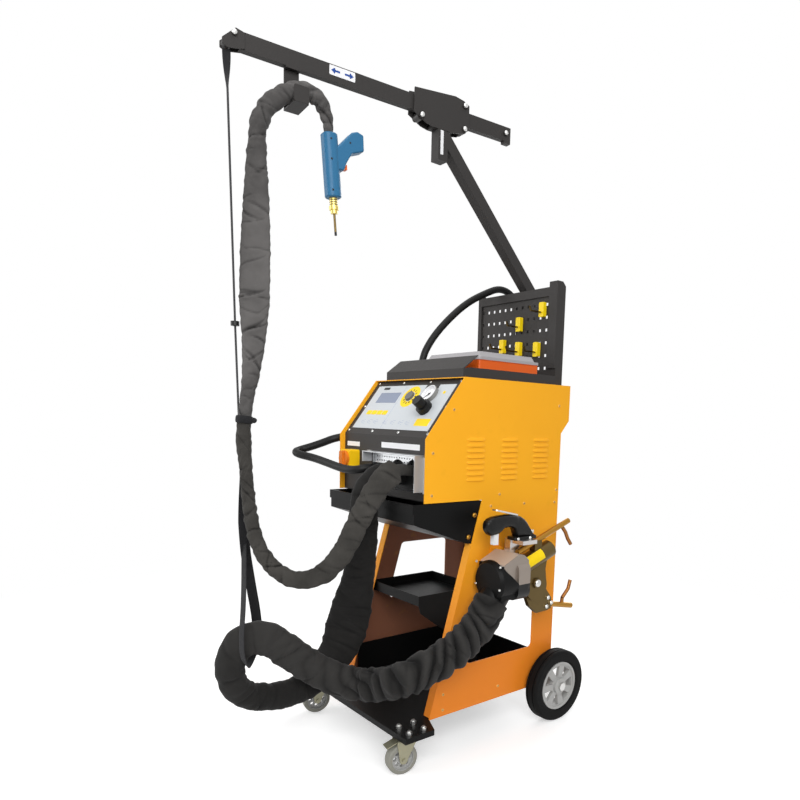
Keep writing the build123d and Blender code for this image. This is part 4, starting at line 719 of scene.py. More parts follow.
class WELDER_OT_running_gear(Dresser, bpy.types.Operator):
    """Finish the castors, wheels and axle, and bolt the front tray"""

    bl_idname = "welder.running_gear"
    bl_label = "Running gear"

    def make(self, paint, metal, textile):
        dress(finish("bright_zinc", metal.zinc, 1.0, 0.32, 1800.0), "castor_plates", "castor_bolts", "rear_axle")
        fork = finish("fork_zinc", metal.fork, 0.9, 0.42, 1200.0, cloud=0.15)
        rubber = finish("tyre_rubber", paint.rubber, 0.0, 0.72, 1500.0, 0.0003, 0.15, gloss=0.12)
        hub = finish("hub_grey", paint.spoke, rough=0.5)
        turn, wheel_trail = radians(-101.0), 25.0
        ahead, axle = np.array((cos(turn), sin(turn), 0.0)), np.array((sin(turn), -cos(turn), 0.0))
        stock = Stock()
        for tag, sign in (("right", 1), ("left", -1)):
            dress(fork, "castor_fork_" + tag, "castor_pedal_" + tag)
            dress(rubber, "rear_tyre_" + tag)
            dress(hub, "rear_hub_" + tag)
            spot = np.array((sign * 210.0, -34.0, 37.5)) + wheel_trail * ahead
            centre = (near_line(spot, axle, 27.0), paint.spoke, 0.0, 0.45)
            tread = finish("castor_tread_" + tag, paint.tread, rough=0.6, zones=(centre,))
            dress(tread, "castor_wheel_" + tag)
            for y, z in ((157.3, 599.0), (139.8, 545.0)):
                dome(stock, (sign * 193.0, y, z), sign * ACROSS, 6.5, 6.0)
        stock.piece("tray_bolts", finish("gilt_zinc", metal.brass, 1.0, 0.34), "frame")


class WELDER_OT_control_face(Dresser, bpy.types.Operator):
    """Print the control overlay and finish its display, gauge and knobs"""

    bl_idname = "welder.control_face"
    bl_label = "Control face"

    def make(self, paint, metal, textile):
        membrane = finish("membrane_film", paint.membrane, rough=0.36, grain=1600.0, cloud=0.03, coat=0.2)
        dress(membrane, "control_overlay")
        dress(finish("screen_glass", paint.screen, rough=0.12, cloud=0.12, coat=0.6), "display")
        dress(finish("knob_black", paint.rubber, rough=0.42, grain=1800.0), "regulator_knob", "gauge_needle")
        dress(finish("dial_grey", shade(paint.bezel, 0.6), rough=0.4), "mode_knob")
        inside = (near_line(on_desk(89, 140), DESK_OUT, 23.6), paint.pale, 0.0, 0.4)
        dress(finish("gauge_rim", paint.bezel, rough=0.4, zones=(inside,)), "gauge")

        stock, dial = Stock(), on_desk(6, 136)
        ring(stock, dial, DESK_OUT, 16.0, 34.0, PRINT_LOW, PRINT_HIGH, 64)
        for x in (-137.5, -112.5, -87.5, -62.5):
            tile(stock, x, 82.5, rounded(22, 14, 2), OVERLAY_TOP + 0.6)
        tile(stock, 125, 55, rounded(56, 22, 2))
        tile(stock, 138, 148, rounded(9, 9, 4.4), OVERLAY_TOP + 0.8)
        stock.piece("overlay_yellow", finish("print_yellow", paint.yellow, rough=0.42, cloud=0.03), "frame")
        for angle in np.radians(np.arange(12) * 30.0):
            self.tick(stock, dial, angle, 21.5, rounded(6, 3.0, 0.5, 3), PRINT_HIGH - 0.1, PRINT_HIGH + 0.1)
        tile(stock, -126, 165, rounded(28, 8, 0.6))
        stock.piece("overlay_ink", finish("print_ink", paint.ink_and_shade, rough=0.5), "frame")
        tile(stock, 76, 148, rounded(54, 52, 1), PRINT_HIGH - 0.05)
        stock.piece("gauge_ground", finish("gauge_ground", paint.graphite, rough=0.5), "frame")
        self.line_drawings(stock, paint)
        self.gauge_face(stock, paint)

    def tick(self, stock, middle, angle, radius, outline, low, high):
        """Mark of a dial: an outline at a radius from the dial's middle, turned by an angle."""
        right = cos(angle) * ACROSS + sin(angle) * DESK_UP
        up = cos(angle) * DESK_UP - sin(angle) * ACROSS
        plate(stock, middle + radius * right, right, up, outline, low, high, 0.05)

    def line_drawings(self, stock, paint):
        """Row of plain marks under the keys: three bars of unequal length and a ring each, and a long rule."""
        high = PRINT_HIGH - 0.1
        for i, x in enumerate((-135, -105, -75, -30, 5, 40, 70)):
            for j in range(3):
                bar = rounded((12, 8, 5)[(i + j) % 3], 0.8, 0.3, 2)
                tile(stock, x + 2 * ((i + j) % 2), 46 + 6 * j, bar, high, 0.05)
            ring(stock, on_desk(x - 9, 52), DESK_OUT, 3.4, 4.2, PRINT_LOW, high, 20)
        tile(stock, -38, 102, rounded(0.8, 138, 0.3, 2), high, 0.05)
        stock.piece("overlay_lines", finish("print_grey", shade(paint.screen, 1.5), rough=0.5), "frame")

    def gauge_face(self, stock, paint):
        """White disc in the gauge with ticks over three quarters of its rim."""
        middle = on_desk(89, 140, 5.0)
        turned(stock, middle, DESK_OUT, [(21.6, -0.1), (21.6, 0.2), (21.3, 0.25)], 48)
        stock.piece("gauge_face", finish("gauge_white", paint.pale, rough=0.4, cloud=0.02), "frame")
        for i, angle in enumerate(np.radians(np.linspace(225, -45, 21))):
            long, wide = ((2.6, 0.5), (4.2, 0.9))[i % 4 == 0]
            self.tick(stock, middle, angle, 20.0 - long / 2, rounded(long, wide, 0.2, 2), 0.1, 0.4)
        stock.piece("gauge_ticks", finish("gauge_ink", paint.ink_and_shade, rough=0.5), "frame")


class WELDER_OT_output_bay(Dresser, bpy.types.Operator):
    """Finish the main switch and output bay, with their bare plates and small fittings"""

    bl_idname = "welder.output_bay"
    bl_label = "Switch and output bay"

    def make(self, paint, metal, textile):
        dress(finish("switch_yellow", paint.switch, rough=0.38, cloud=0.03), "switch_body")
        dress(finish("switch_orange", paint.handle, rough=0.36, cloud=0.04), "switch_knob")
        steel = finish("brushed_steel", metal.steel, 0.55, 0.34, 300.0, brush=(1, 1, 12), cloud=0.1)
        dress(steel, "terminal_guard")
        bar = (both(beyond((0, 29.5, 0), FACING), beyond((-72, 0, 0), ACROSS)), metal.steel, 1.0, 0.36)
        dress(finish("bay_block", paint.soot, rough=0.6, zones=(bar,)), "output_terminals")
        stock, front = Stock(), 15.0
        for x, z, width, height in ((-148, 761, 63, 12), (71, 764.5, 164, 14)):
            plate(stock, (x, front, z), ACROSS, UPRIGHT, rounded(width, height, 1.2), -0.2, 0.5)
        stock.piece("bare_plates", finish("plate_white", paint.pale, rough=0.4, cloud=0.03), "frame")
        knob = np.array((-81, front, 673))
        turned(stock, knob, FACING, [(5, -0.2), (5, 7), (3.5, 8)], 20)
        for angle in np.radians((0, 72, 144, 216, 288)):
            spot = knob + 7 * (cos(angle) * ACROSS + sin(angle) * UPRIGHT)
            turned(stock, spot, FACING, [(3.2, 1.5), (3.2, 6.5), (2.4, 7.5)], 12)
        stock.piece("star_knob", finish("star_zinc", metal.zinc, 1.0, 0.3), "frame")


class WELDER_OT_top_store(Dresser, bpy.types.Operator):
    """Finish the organizer and the hooks of the pegboard"""

    bl_idname = "welder.top_store"
    bl_label = "Organizer and hooks"

    def make(self, paint, metal, textile):
        lid = (beyond((0, 0, 984.5), UPRIGHT), paint.lid, 0.0, 0.34)
        dress(finish("organizer", paint.box, rough=0.4, cloud=0.05, zones=(lid,)), "organizer_box")
        wire = (beyond((0, 453.5, 0), FACING), metal.olive, 1.0, 0.34)
        dress(finish("hook_yellow", paint.yellow, rough=0.4, zones=(wire,)), "peg_hooks")


class WELDER_OT_boom_marks(Dresser, bpy.types.Operator):
    """Put the arrow plate on the boom, the bare strip on its stub, nuts on its pins and the cradle's front"""

    bl_idname = "welder.boom_marks"
    bl_label = "Boom fittings"

    def make(self, paint, metal, textile):
        dress(finish("roller_grey", paint.graphite, rough=0.35), "guide_rollers")
        white = finish("arrow_plate", paint.pale, rough=0.42, cloud=0.03)
        stock, sign_s, sign_z = Stock(), -272.5, 1614
        plate(stock, on_boom(sign_s, 8.0, sign_z), BOOM_WAY, UPRIGHT, rounded(64, 21, 2.5), -0.2, 0.4)
        stock.piece("arrow_plate", white, "arm")
        arrow = np.array([(12, 0), (3, 6.5), (3, 2.2), (-10, 2.2), (-10, -2.2), (3, -2.2), (3, -6.5)])
        for side in (-1, 1):
            middle = on_boom(sign_s + side * 16, 8.0, sign_z)
            plate(stock, middle, BOOM_WAY, UPRIGHT, arrow * (side, 1), 0.2, 0.6, 0.1)
        stock.piece("arrow_prints", finish("arrow_blue", paint.arrow, rough=0.45), "arm")
        plate(stock, (15.0, 165.0, 1531), -FACING, UPRIGHT, rounded(9, 58, 1.0), -0.2, 0.5)
        stock.piece("stub_strip", white, "frame")
        zinc = finish("boom_zinc", metal.zinc, 1.0, 0.3)
        pins = ((-64, 1580.2), (64, 1580.2), (64, 1636.8))
        ends = ((-517, 1617.5), (202, 1608.5))
        for name, body, spots, half, radius in (
            ("roller_nuts", "head", pins, 19.0, 6.2),
            ("arm_nuts", "arm", ends, 14.0, 5.8),
        ):
            for s, z in spots:
                for side in (1, -1):
                    dome(stock, on_boom(s, side * half, z), side * BOOM_SIDE, radius, 5.0)
            stock.piece(name, zinc, body)
        plate(stock, on_boom(-388, 54.0, 1519), BOOM_WAY, UPRIGHT, rounded(34, 35, 5), 0.0, 2.6, 0.5)
        stock.piece("cradle_front", finish("cradle_coat", paint.graphite, rough=0.5, gloss=0.16), "arm")


class WELDER_OT_stud_gun(Dresser, bpy.types.Operator):
    """Finish the stud gun, with its shell screws and the grooves of its collet"""

    bl_idname = "welder.stud_gun"
    bl_label = "Stud gun"

    def make(self, paint, metal, textile):
        dress(finish("gun_shell", paint.gun, rough=0.42, grain=1500.0, cloud=0.05), "stud_gun_body")
        dress(finish("gun_trigger", paint.trigger, rough=0.4), "stud_gun_trigger")
        rod = (beyond(on_stud(0, -34.5), -STUD_UP), metal.olive, 1.0, 0.38)
        burnt = (beyond(on_stud(0, -74), -STUD_UP), paint.ink_and_shade, 0.6, 0.6)
        dress(finish("collet_brass", metal.collet, 0.8, 0.28, 1500.0, zones=(rod, burnt)), "stud_gun_nose")
        # Painted shade: the stud gun's shell screws and the grooves of its collet are drawn in the dark ink
        # colour.
        ink_and_shade = finish("gun_shadow", paint.ink_and_shade, rough=0.6)
        stock = Stock()
        for a, b, out in ((-3, 123, 17.9), (-5, 80, 17.9), (-7, 14, 17.9), (45, 122, 15.0)):
            socket_screw(stock, on_stud(a, b, out), BOOM_SIDE, 2.4, 0.5)
        stock.piece("gun_screws", ink_and_shade, "arm")
        for b in (-4.5, -9.5, -14.5):
            ring(stock, on_stud(0, b), STUD_UP, 8.8, 9.15, -0.9, 0.9, 32)
        stock.piece("collet_grooves", ink_and_shade, "arm")


class WELDER_OT_spot_gun(Dresser, bpy.types.Operator):
    """Finish the spot gun, with its rounded handle, screws and bare plate"""

    bl_idname = "welder.spot_gun"
    bl_label = "Spot gun"

    def make(self, paint, metal, textile):
        dress(finish("cap_rubber", paint.rubber, 0.0, 0.4, 1200.0, 0.0002, gloss=0.1), "spot_gun_cap")
        zones = (
            # Painted shade: the right flank of the housing is drawn in a darker nickel than its top.
            (beyond((GUN_X + 42, 0, 0), ACROSS), shade(metal.nickel, 0.5), 0.6, 0.36),
            (beyond((0, 0, 436), -UPRIGHT), paint.rubber, 0.0, 0.42),
            (beyond((0, 0, 511.6), UPRIGHT), metal.alloy, 1.0, 0.3),
            (beyond((0, 252.4, 0), -FACING), metal.alloy, 1.0, 0.3),
        )
        dress(finish("gun_nickel", metal.nickel, 0.45, 0.4, 500.0, zones=zones), "spot_gun_body")
        self.grip(finish("grip_black", paint.rubber, rough=0.28, grain=1600.0, gloss=0.24))
        dress(finish("trigger_white", paint.pale, rough=0.4), "spot_gun_trigger")
        rise = radians(19.8)
        rod = near_line((GUN_X, 232, 497), (0.0, cos(rise), sin(rise)), 8.3)
        tip = both(beyond((0, 410, 0), -FACING), beyond((0, 412, 552), (0.0, sin(rise), -cos(rise))))
        zones = ((rod, metal.brass, 1.0, 0.32), (tip, metal.copper, 1.0, 0.36))
        dress(finish("arm_olive", metal.olive, 0.9, 0.4, zones=zones), "spot_gun_arm")
        rod = beyond((0, 385, 0), -FACING)
        tip = both(beyond((0, 424, 0), -FACING), beyond((0, 0, 350), UPRIGHT))
        zones = ((rod, metal.brass, 1.0, 0.36), (tip, metal.copper, 1.0, 0.36))
        dress(finish("jaw_olive", metal.olive, 0.9, 0.42, zones=zones), "spot_gun_jaw")
        zinc = finish("gun_zinc", metal.zinc, 1.0, 0.28)
        stock = Stock()
        for y, z in ((238, 543), (280, 543)):
            socket_screw(stock, (GUN_X + 15, y, z), ACROSS, 4, 3)
        socket_screw(stock, (GUN_X + 8, 294, 554), UPRIGHT, 5, 7)
        for x, z in ((-43, 486), (43, 486), (-43, 430), (43, 430)):
            socket_screw(stock, (GUN_X + x, 154.5, z), FACING, 3.2, 2.0)
        plate(stock, (GUN_X, 205, 608.5), unit((0, 76, -17)), -ACROSS, rounded(78, 18, 4), 0.0, 4.0, 0.6)
        stock.piece("handle_screws", zinc, "frame")
        for y, z in ((366.7, 372.3), (380, 356.8), (362, 349)):
            socket_screw(stock, (GUN_X + 6, y, z), ACROSS, 5.5, 5)
        dome(stock, (GUN_X + 19.6, 312, 421), ACROSS, 10, 6)
        stock.piece("jaw_screws", zinc, "jaw")
        self.ram_plate(paint)

    def grip(self, black):
        """Handle: upright rounded sections between a lower and an upper edge, |x/w|^3 + |z/h|^3 = 1, with a
        slot in the underside for the trigger, on a flat foot."""
        base = 1000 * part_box("spot_gun_handle")[0].z
        widest, slot_from, slot_to, slot_half, slot_top, wall = 15.0, 164.7, 179.3, 7.3, 36.0, 0.1
        y = np.r_[np.linspace(138.2, slot_from - wall, 22), np.linspace(slot_from, slot_to, 9)]
        y = np.r_[y, np.linspace(slot_to + wall, 303, 72)]
        over_y = (138, 139, 142, 150, 160, 172, 192, 212, 234, 252, 264, 274, 283, 292, 303)
        over = np.interp(y, over_y, (44, 49, 54.5, 60, 63.4, 65, 66, 66, 64, 60, 53.5, 44, 30.5, 16, 8.6))
        under_y = (138, 139, 142, 147, 152, 157, 168, 180, 186, 192, 198, 216, 224, 231, 236, 239, 242)
        under_z = (40, 35, 28, 22, 18.6, 17.4, 18.4, 20.6, 24.5, 30, 33.4, 34, 32.6, 28.4, 23, 15, 6)
        under = np.interp(y, under_y, under_z)
        half_wide = np.interp(y, (138, 139, 142, 150, 160, 303), (5, 8, 11.4, 14, widest, widest))
        side = -np.cos(np.linspace(0, pi, 33))
        edge = (slot_half + np.array((-wall, 0.0))) / widest
        side = np.unique(np.r_[side[np.abs(np.abs(side) - edge[1]) > 0.03], edge, -edge])
        bulge = (1 - np.abs(side) ** 3) ** (1 / 3)
        middle, half = (over + under)[:, None] / 2, (over - under)[:, None] / 2
        in_slot = ((y > slot_from - wall / 2) & (y < slot_to + wall / 2))[:, None] & (np.abs(side) < edge.mean())
        bottom, top = np.where(in_slot, slot_top, middle - half * bulge), middle + half * bulge
        high = np.hstack([bottom, top[:, -2:0:-1]])
        across = half_wide[:, None] * np.r_[side, side[-2:0:-1]]
        stock = Stock()
        stock.skin(np.stack([GUN_X + across, np.broadcast_to(y[:, None], high.shape), base + high], 2))
        plate(stock, (GUN_X, 267, base), -FACING, -ACROSS, rounded(78, 30, 3), 0.0, 8.0, 0.8)
        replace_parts(stock.piece("handle_grip", black, "frame"), "spot_gun_handle")

    def ram_plate(self, paint):
        """Bare plate wrapped on the ram: a patch of its cylinder, 72 long and an arc of 70 degrees."""
        rise = radians(20)
        way, over = np.array((0.0, cos(rise), sin(rise))), np.array((0.0, -sin(rise), cos(rise)))
        axis = np.array((GUN_X, 246, 458)) + np.linspace(20, 92, 12)[:, None, None] * way
        turn = np.radians(np.linspace(-8, 62, 15))[None, :, None]
        inner, outer = (axis + r * (np.cos(turn) * ACROSS + np.sin(turn) * over) for r in (23.05, 23.45))
        stock = Stock()
        stock.skin(np.concatenate([inner, outer[:, ::-1]], axis=1))
        stock.piece("ram_plate", finish("ram_yellow", paint.yellow, rough=0.42, cloud=0.03), "frame")


class WELDER_OT_gun_sleeve(Dresser, bpy.types.Operator):
    """Sew the stud gun's sleeve, in two lengths that meet in a tie"""

    bl_idname = "welder.gun_sleeve"
    bl_label = "Stud gun sleeve"

    def make(self, paint, metal, textile):
        hanging = [(-352, 24, 1547), (-410, 23, 1531), (-466, 15, 1474.5), (-472, 11, 1400.5)]
        hanging += [(-472, 9, 1300.5), (-476, 6, 1110.5), (-480, 9, 950.5)]
        route = [on_stud(0, STUD_LENGTH), on_stud(0, STUD_LENGTH + 48), *(on_boom(*spot) for spot in hanging)]
        route += [(-36, -337, 806), (-33, -331, 712), (-27, -325, 610), (-18, -314, 540), (2, -288, 484)]
        route += [(36, -246, 451), (76, -196, 466), (104, -158, 522), (124, -132, 598), (136, -108, 650)]
        route += [(136, -72, 694), (130, -34, 712), (124, 4, 710), (120, 30, 706)]
        line, run = smooth_line(route, 3.0)
        way, wide, _ = spread(line)
        peak, low = int(np.argmax(line[:, 2])), int(np.argmin(line[:, 2]))

        def fall(*heights):
            """Runs at which the hanging length passes some heights."""
            return [*np.interp(np.negative(heights), -line[peak:low, 2], run[peak:low])]

        def climb(*heights):
            """Runs at which the rising length passes some heights."""
            return [*np.interp(heights, line[low:, 2], run[low:])]

        def over(spots, values):
            """Values at some runs, straight between them."""
            return np.interp(run, spots, values)

        rng = np.random.default_rng(11)
        turn = np.linspace(0, 2 * pi, 72, endpoint=False)
        total, tie = run[-1], int(np.searchsorted(run, fall(820)[0]))
        spots = [0, 14, 40, 70, 110, 170, 220, *fall(1430, 1300, 1200, 1080, 870, 820, 780, 700, 545, 483)]
        spots += [run[low], *climb(478, 540, 650), total - 72, total - 64, total]
        half = [10, 11, 14, 17, 19, 20, 20, 18, 28, 33, 34, 14.5]
        half += [14, 16.5, 13.5, 16, 18, 20, 24, 25, 27, 31, 14, 13]
        thick = [10, 11, 14, 16, 17, 18, 18, 14, 10, 9, 9, 13, 13, 14, 13, 13, 13, 12, 10, 9, 8, 8, 9, 11]
        bends = [0, 200, *fall(1300, 900, 700), run[low], total - 76, total - 64]
        edge = over(bends, [0, 1.5, 1.2, 1, 1.2, 1.2, 2.2, 0.3])
        half_wide = over(spots, half) + edge * ripple(rng, run, (19, 31, 53))
        lumps = over([0, 20, 90, 150, 300], [2.0, 6.0, 6.0, 4.0, 0.0])[:, None]
        bends = [0, 60, 220, *fall(1380, 1000, 830, 700, 500), total - 200, total]
        slack = over(bends, [2, 3, 3.5, 1.2, 1.2, 2, 2, 2, 1.2, 1])[:, None]
        rings = np.abs(np.sin(pi * run / 24.0 + 0.6 * np.sin(run / 41.0)))[:, None] - 0.62
        rings = rings * (0.75 + 0.25 * np.cos(turn + run[:, None] / 60.0))
        folds = creases(rng, run, turn, 110, 70)
        lines = pleats(rng, run, turn, 12.0, 2.6)
        swell = lumps * rings + slack * folds + 3.4 * lines
        squareness = over([0, 200, *fall(1380), total], [1.0, 0.9, 0.7, 0.7])
        # Painted light: paler along the middle of the hanging length. Painted shade: darker in the valleys of
        # the pleats and of the rings near the gun.
        painted_light = over([0, 300, *fall(1250, 1000, 850), total], [0, 0, -0.2, -0.28, 0, 0])[:, None]
        tone = painted_light + 1.5 * np.clip(-lines - 0.1, 0, 1) + 0.25 * lumps * np.clip(-rings - 0.1, 0, 1)
        grid = sewn(line, turn, half_wide, over(spots, thick), swell, squareness)

        stock, above, beneath = Stock(), slice(None, tie + 1), slice(None, tie - 1, -1)
        stock.skin(grid[above], tone=tone[above])
        upper = stock.piece("gun_sleeve_upper", cloth("sleeve_cloth", textile.tint, textile.weave))
        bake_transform(upper)
        # Painted shade: the length below the tie takes the darker shadow tint.
        stock.skin(grid[beneath], tone=tone[beneath])
        lower = stock.piece("gun_sleeve_lower", cloth("sleeve_cloth_low", textile.shadow, textile.weave))
        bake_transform(lower)
        loop = [(13, -8), (17.5, -8), (19, -4), (19, 4), (17.5, 8), (13, 8)]
        turned(stock, line[tie], way[tie], loop, 32, closed=True)
        knot = [(2.5, -5), (5.5, -3), (6.5, 1), (5, 4.5), (2, 7)]
        turned(stock, line[tie] + 21 * wide[tie], wide[tie] - 0.3 * way[tie], knot, 16)
        band = stock.piece("sleeve_tie", cloth("tie_webbing", textile.webbing, textile.weave), "head")
        for made, path in ((upper, line[above]), (lower, line[beneath])):
            free_cord(made, "gun_sleeve")


class WELDER_OT_spot_sleeve(Dresser, bpy.types.Operator):
    """Sew the spot gun's sleeve"""

    bl_idname = "welder.spot_sleeve"
    bl_label = "Spot gun sleeve"

    def make(self, paint, metal, textile):
        route = [(58, 30, 696), (58, -16, 696), (59, -58, 684), (55, -78, 640), (45, -70, 572), (27, -64, 508)]
        route += [(12, -62, 430), (-11, -67, 352), (-33, -71, 286), (-50, -84, 226), (-58, -124, 182)]
        route += [(-42, -178, 156), (-40, -264, 152), (-46, -345, 177), (-44, -374, 245), (-40, -350, 310)]
        route += [(-22, -292, 318), (-4, -230, 262), (14, -165, 207), (62, -106, 182), (128, -78, 193)]
        route += [(198, -58, 222), (242, -12, 256), (257, 50, 286), (255, 123.8, 329.4), (255, 150, 364)]
        route += [(255, 170, 391)]
        line, run = smooth_line(route, 3.0)
        turns = (0, 2, 4, 6, 7, 8, 9, 11, 13, 14, 15, 16, 18, 20, 22, 24, 26)
        spots = [run[np.argmin(np.linalg.norm(line - np.array(route[i]), axis=1))] for i in turns]

        def over(*values):
            """Values at the turns of the route, straight between them."""
            return np.interp(run, spots, values)

        rng = np.random.default_rng(23)
        turn, at = np.linspace(0, 2 * pi, 80, endpoint=False), run[:, None]
        half_wide = over(28, 30, 36, 40, 51, 54, 46, 34, 32, 33, 37, 40, 40, 40, 41, 41, 43)
        half_wide = half_wide + 1.5 * ripple(rng, run, (23, 37, 61))
        half_deep = over(20, 20, 18, 15, 14, 14, 16, 20, 24, 24, 22, 22, 24, 28, 34, 38, 42)
        slack = over(2, 2, 2, 2, 2, 2.5, 2.5, 2.5, 2, 2, 2, 2, 2.5, 4, 4, 4, 2)[:, None]
        heavy = over(*[0] * 12, 3, 10, 14, 12, 6)[:, None]
        folds = creases(rng, run, turn, 160, 64)
        lean = at + 36 * np.sin(turn + at / 90.0) + 8 * np.sin(at / 23.0 + 2 * turn)
        gathers = np.abs(np.sin(pi * lean / 44.0)) - 0.62
        lines = pleats(rng, run, turn, 11.0, 3.6)
        swell = slack * folds + heavy * gathers + 2.4 * lines
        # Painted light and shade along the run: darker along the drape from the machine and the loop's lower
        # strand, paler along the loop's upper strand.
        painted_light = over(0.3, 0.35, 0.45, 0.5, 0.5, 0.4, 0.35, 0.4, 0.3, 0.05, -0.2, -0.65, -0.4, 0.2, 0, -0.15, 0)
        # Painted shade in the pleat valleys and the gathers' valleys near the gun, and painted highlights on the
        # gathers' crests.
        tone = painted_light[:, None] + 0.9 * np.clip(-lines - 0.2, 0, 1)
        tone = tone + heavy * (0.2 * np.clip(-gathers, 0, 1) - 0.13 * np.clip(gathers - 0.1, 0, 1))
        squareness = over(*[0.9] * 3, *[0.7] * 4, *[0.8] * 6, 0.9, 1, 1, 1)
        stock = Stock()
        stock.skin(sewn(line, turn, half_wide, half_deep, swell, squareness), tone=tone)
        made = stock.piece("spot_sleeve_cloth", cloth("black_cloth", textile.dark, textile.weave), "frame")
        free_cord(made, "spot_sleeve")


class WELDER_OT_strap(Dresser, bpy.types.Operator):
    """Hang the balance strap from the boom's tip, its lower end slung round the spot gun's sleeve"""

    bl_idname = "welder.strap"
    bl_label = "Balance strap"

    def make(self, paint, metal, textile):
        webbing = cloth("strap_webbing", textile.webbing, textile.weave)
        top, middle = on_boom(-530, 0, 1585.7), np.array((-69.0, -338.0, 1030.0))
        sling = [(-80, -318, 534), (-79, -304, 440), (-76, -287, 335), (-68, -294, 288), (-36, -330, 250)]
        sling += [(3, -353, 270), (12, -364, 318), (-30, -338, 420), (-79, -318, 526)]
        fork = np.array(sling[0], float)
        narrow, broad, flat_on, edge_on, turning = 17.0, 24.0, 0.16, pi / 2, (280, 450)
        stock = Stock()
        ring(stock, middle, UPRIGHT, 4.5, 9.5, -5, 5, 24)
        buckle = stock.piece("strap_buckle", finish("buckle_black", paint.rubber, rough=0.4), "head")

        line, run = smooth_line([top, (top + middle) / 2, middle], 8.0)
        twist = np.interp(run, [0, 12, 70], [-1.19, -1.0, flat_on])
        upper = self.band("strap_upper", webbing, line, twist, np.full(len(run), narrow))
        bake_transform(upper)
        free_cord(upper, "strap")

        line, run = smooth_line([middle, (middle + fork) / 2, *sling], 8.0)
        twist, width = (np.interp(run, turning, ends) for ends in ((flat_on, edge_on), (narrow, broad)))
        lower = self.band("strap_lower", webbing, line, twist, width)
        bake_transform(lower)
        free_cord(lower, "strap")

    def band(self, name, webbing, line, twist, width):
        """Strap: a thin rounded outline carried along a line, turned by a twist and stretched to a width."""
        wide, deep = carried(line, ACROSS)
        first = np.cos(twist)[:, None] * wide + np.sin(twist)[:, None] * deep
        second = np.cos(twist)[:, None] * deep - np.sin(twist)[:, None] * wide
        outline, thickness = rounded(1.0, 1.0, 0.3, 4), 1.9
        across = outline[None, :, :1] * (width[:, None] * first)[:, None]
        through = outline[None, :, 1:] * (thickness * second)[:, None]
        stock = Stock()
        stock.skin(line[:, None] + across + through)
        return stock.piece(name, webbing)


class WELDER_OT_cables(Dresser, bpy.types.Operator):
    """Lay the earth cable and the air hose"""

    bl_idname = "welder.cables"
    bl_label = "Cable and hose"

    def make(self, paint, metal, textile):
        rubber = finish("cable_rubber", shade(paint.rubber, 1.4), 0.0, 0.46, 1400.0, 0.00015, gloss=0.2)
        earth = [(-28, 30, 705), (-28, -18, 705), (-50, -42, 697), (-96, -50, 699), (-150, -60, 709)]
        earth += [(-204, -74, 720), (-238, -98, 727), (-258, -103, 733), (-269, -79, 739), (-256, -56, 747)]
        earth += [(-236, -28, 760), (-214, -6, 773), (-210, 38, 780), (-208.5, 124, 780), (-208.5, 184, 780)]
        hose = [(-84, 188, 948), (-84, 188, 996), (-84, 222, 1055), (-84, 278, 1114), (-84, 345, 1169)]
        hose += [(-84, 414, 1206), (-80, 476, 1232), (-62, 520, 1206), (-50, 530, 1122), (-48, 526, 1012)]
        hose += [(-48, 526, 905)]
        for name, node, route, radius in (
            ("earth_lead", "earth_cable", earth, 10.5),
            ("air_line", "air_hose", hose, 10.0),
        ):
            _, run = smooth_line(route, 4.0)
            curve = spline_curve(name, route)
            curve.bevel_depth = radius / 1000.0
            curve.bevel_resolution = 6
            curve.use_fill_caps = True
            curve.materials.append(rubber)
            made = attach(linked(name, curve), "frame")
            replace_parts(made, node)


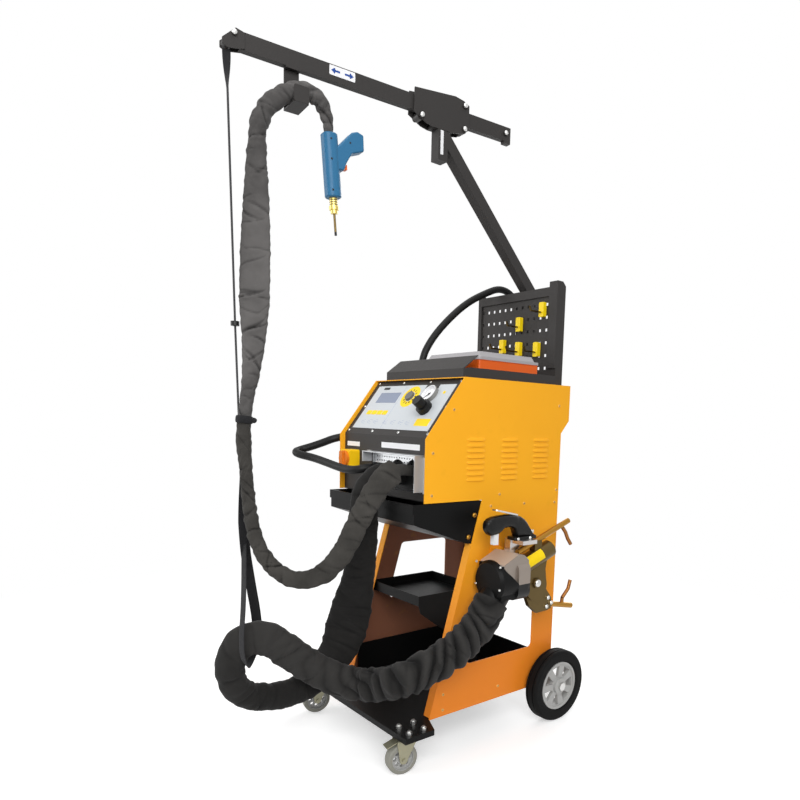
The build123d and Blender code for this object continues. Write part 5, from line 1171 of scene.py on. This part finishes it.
class WELDER_OT_stage(bpy.types.Operator):
    """Set up the floor, lamps, background and camera"""

    bl_idname = "welder.stage"
    bl_label = "Stage"
    bl_options = {"REGISTER", "UNDO"}

    def execute(self, context):
        scene, light = context.scene, context.scene.welder_stage
        scene.view_settings.view_transform = "Standard"
        self.floor()
        self.background(scene, light.sky)
        self.lamp("key", light.key, (2.3, -1.5, 2.1), 2.2)
        self.lamp("fill", light.fill, (-1.7, -2.4, 1.5), 2.4)
        self.lamp("top", light.top, (0.1, -0.2, 3.3), 2.2)
        self.lamp("back", light.back, (-1.3, 2.7, 1.9), 2.2)
        self.camera(scene)
        return {"FINISHED"}

    def floor(self):
        """Level disc: rings of growing radius, pale and lit near the machine and plain white far off."""
        radius = np.array((200.0, 900.0, 1800.0, 3000.0, 5000.0, 9000.0))[:, None, None]
        angle = np.linspace(0, 2 * pi, 64, endpoint=False)[None, :, None]
        level = radius * (np.cos(angle) * ACROSS - np.sin(angle) * FACING)
        stock = Stock()
        stock.skin(np.concatenate([level, level[::-1] - (0, 0, 4)]) + ORIGIN)
        material, board = blank("floor")
        seen = board.seen("Camera", "Glossy")
        reach = board.vector("LENGTH", board.spot(), out="Value")
        pale = board.mixed(board.noise(60.0), (0.78, 0.78, 0.78), (0.8, 0.8, 0.8))
        ground = board.node("ShaderNodeBsdfDiffuse", None, {"Color": pale})
        glow, white = (
            board.node("ShaderNodeEmission", None, {"Color": (1, 1, 1, 1), "Strength": strength})
            for strength in (seen * 0.46, seen)
        )
        near = board.node("ShaderNodeAddShader", None, {0: ground, 1: glow})
        share = board.rise(reach, 1.0, 2.2)
        board.show(board.node("ShaderNodeMixShader", None, {0: share, 1: near, 2: white}))
        stock.piece("floor", material)

    def background(self, scene, sky):
        """White where the camera and mirrors look, and a plain grey light everywhere else."""
        scene.world = bpy.data.worlds.new("studio")
        scene.world.use_nodes = True
        board = Board(scene.world.node_tree)
        dim, white = (
            board.node("ShaderNodeBackground", None, {"Color": (1, 1, 1, 1), "Strength": strength})
            for strength in (sky, 1.0)
        )
        seen = board.seen("Camera", "Glossy", "Transmission")
        board.show(board.node("ShaderNodeMixShader", None, {0: seen, 1: dim, 2: white}), "World")

    def lamp(self, name, power, spot, size):
        """Square lamp aimed at the middle of the machine."""
        data = bpy.data.lights.new(name, "AREA")
        data.energy, data.size = power, size
        way = unit(np.array((0.0, 0.0, 0.8)) - np.array(spot))
        right, up = square_to(way)
        linked(name, data).matrix_world = Matrix((*zip(right, -up, -way, spot), (0, 0, 0, 1)))

    def camera(self, scene):
        """Camera worked out from the machine's own edges: place, yaw, pitch, roll, focal length and
        optical middle, the last two in pixels of an 800 x 800 picture."""
        spot = place((1422.1, -923.1, 830.3))
        yaw, pitch, roll, focal, middle, picture = 0.8531, 0.1158, 0.0319, 663.1, (472.3, 498.7), 800.0
        view = np.array((-sin(yaw) * cos(pitch), cos(yaw) * cos(pitch), -sin(pitch)))
        level = np.array((cos(yaw), sin(yaw), 0.0))
        above = np.cross(level, view)
        right, up = level * cos(roll) + above * sin(roll), above * cos(roll) - level * sin(roll)
        data = bpy.data.cameras.new("camera")
        data.sensor_width = 36.0
        data.lens = focal / picture * data.sensor_width
        data.shift_x = 0.5 - middle[0] / picture
        data.shift_y = middle[1] / picture - 0.5
        scene.camera = linked("camera", data)
        scene.camera.matrix_world = Matrix((*zip(right, up, -view, spot), (0, 0, 0, 1)))


GROUPS = {
    "welder_paint": PaintColours,
    "welder_metal": MetalColours,
    "welder_cloth": ClothSizes,
    "welder_stage": StageLight,
}
OPERATORS = (
    WELDER_OT_stage,
    WELDER_OT_paintwork,
    WELDER_OT_running_gear,
    WELDER_OT_control_face,
    WELDER_OT_output_bay,
    WELDER_OT_top_store,
    WELDER_OT_boom_marks,
    WELDER_OT_stud_gun,
    WELDER_OT_spot_gun,
    WELDER_OT_gun_sleeve,
    WELDER_OT_spot_sleeve,
    WELDER_OT_strap,
    WELDER_OT_cables,
)


class WELDER_PT_sidebar(bpy.types.Panel):
    """Lists the welder's settings and pieces"""

    bl_idname = "WELDER_PT_sidebar"
    bl_label = "Dent pulling welder"
    bl_space_type = "VIEW_3D"
    bl_region_type = "UI"
    bl_category = "Welder"

    def draw(self, context):
        for held, group in GROUPS.items():
            settings = getattr(context.scene, held)
            for key in group.__annotations__:
                self.layout.prop(settings, key)
        for operator in OPERATORS:
            self.layout.operator(operator.bl_idname)


def register():
    for held, group in GROUPS.items():
        bpy.utils.register_class(group)
        setattr(bpy.types.Scene, held, bpy.props.PointerProperty(type=group))
    for shown in (*OPERATORS, WELDER_PT_sidebar):
        bpy.utils.register_class(shown)


def unregister():
    for shown in (WELDER_PT_sidebar, *reversed(OPERATORS)):
        bpy.utils.unregister_class(shown)
    for held, group in reversed(GROUPS.items()):
        delattr(bpy.types.Scene, held)
        bpy.utils.unregister_class(group)


def main():
    register()
    for operator in OPERATORS:
        group, name = operator.bl_idname.split(".")
        getattr(getattr(bpy.ops, group), name)()


if __name__ == "__main__":
    main()
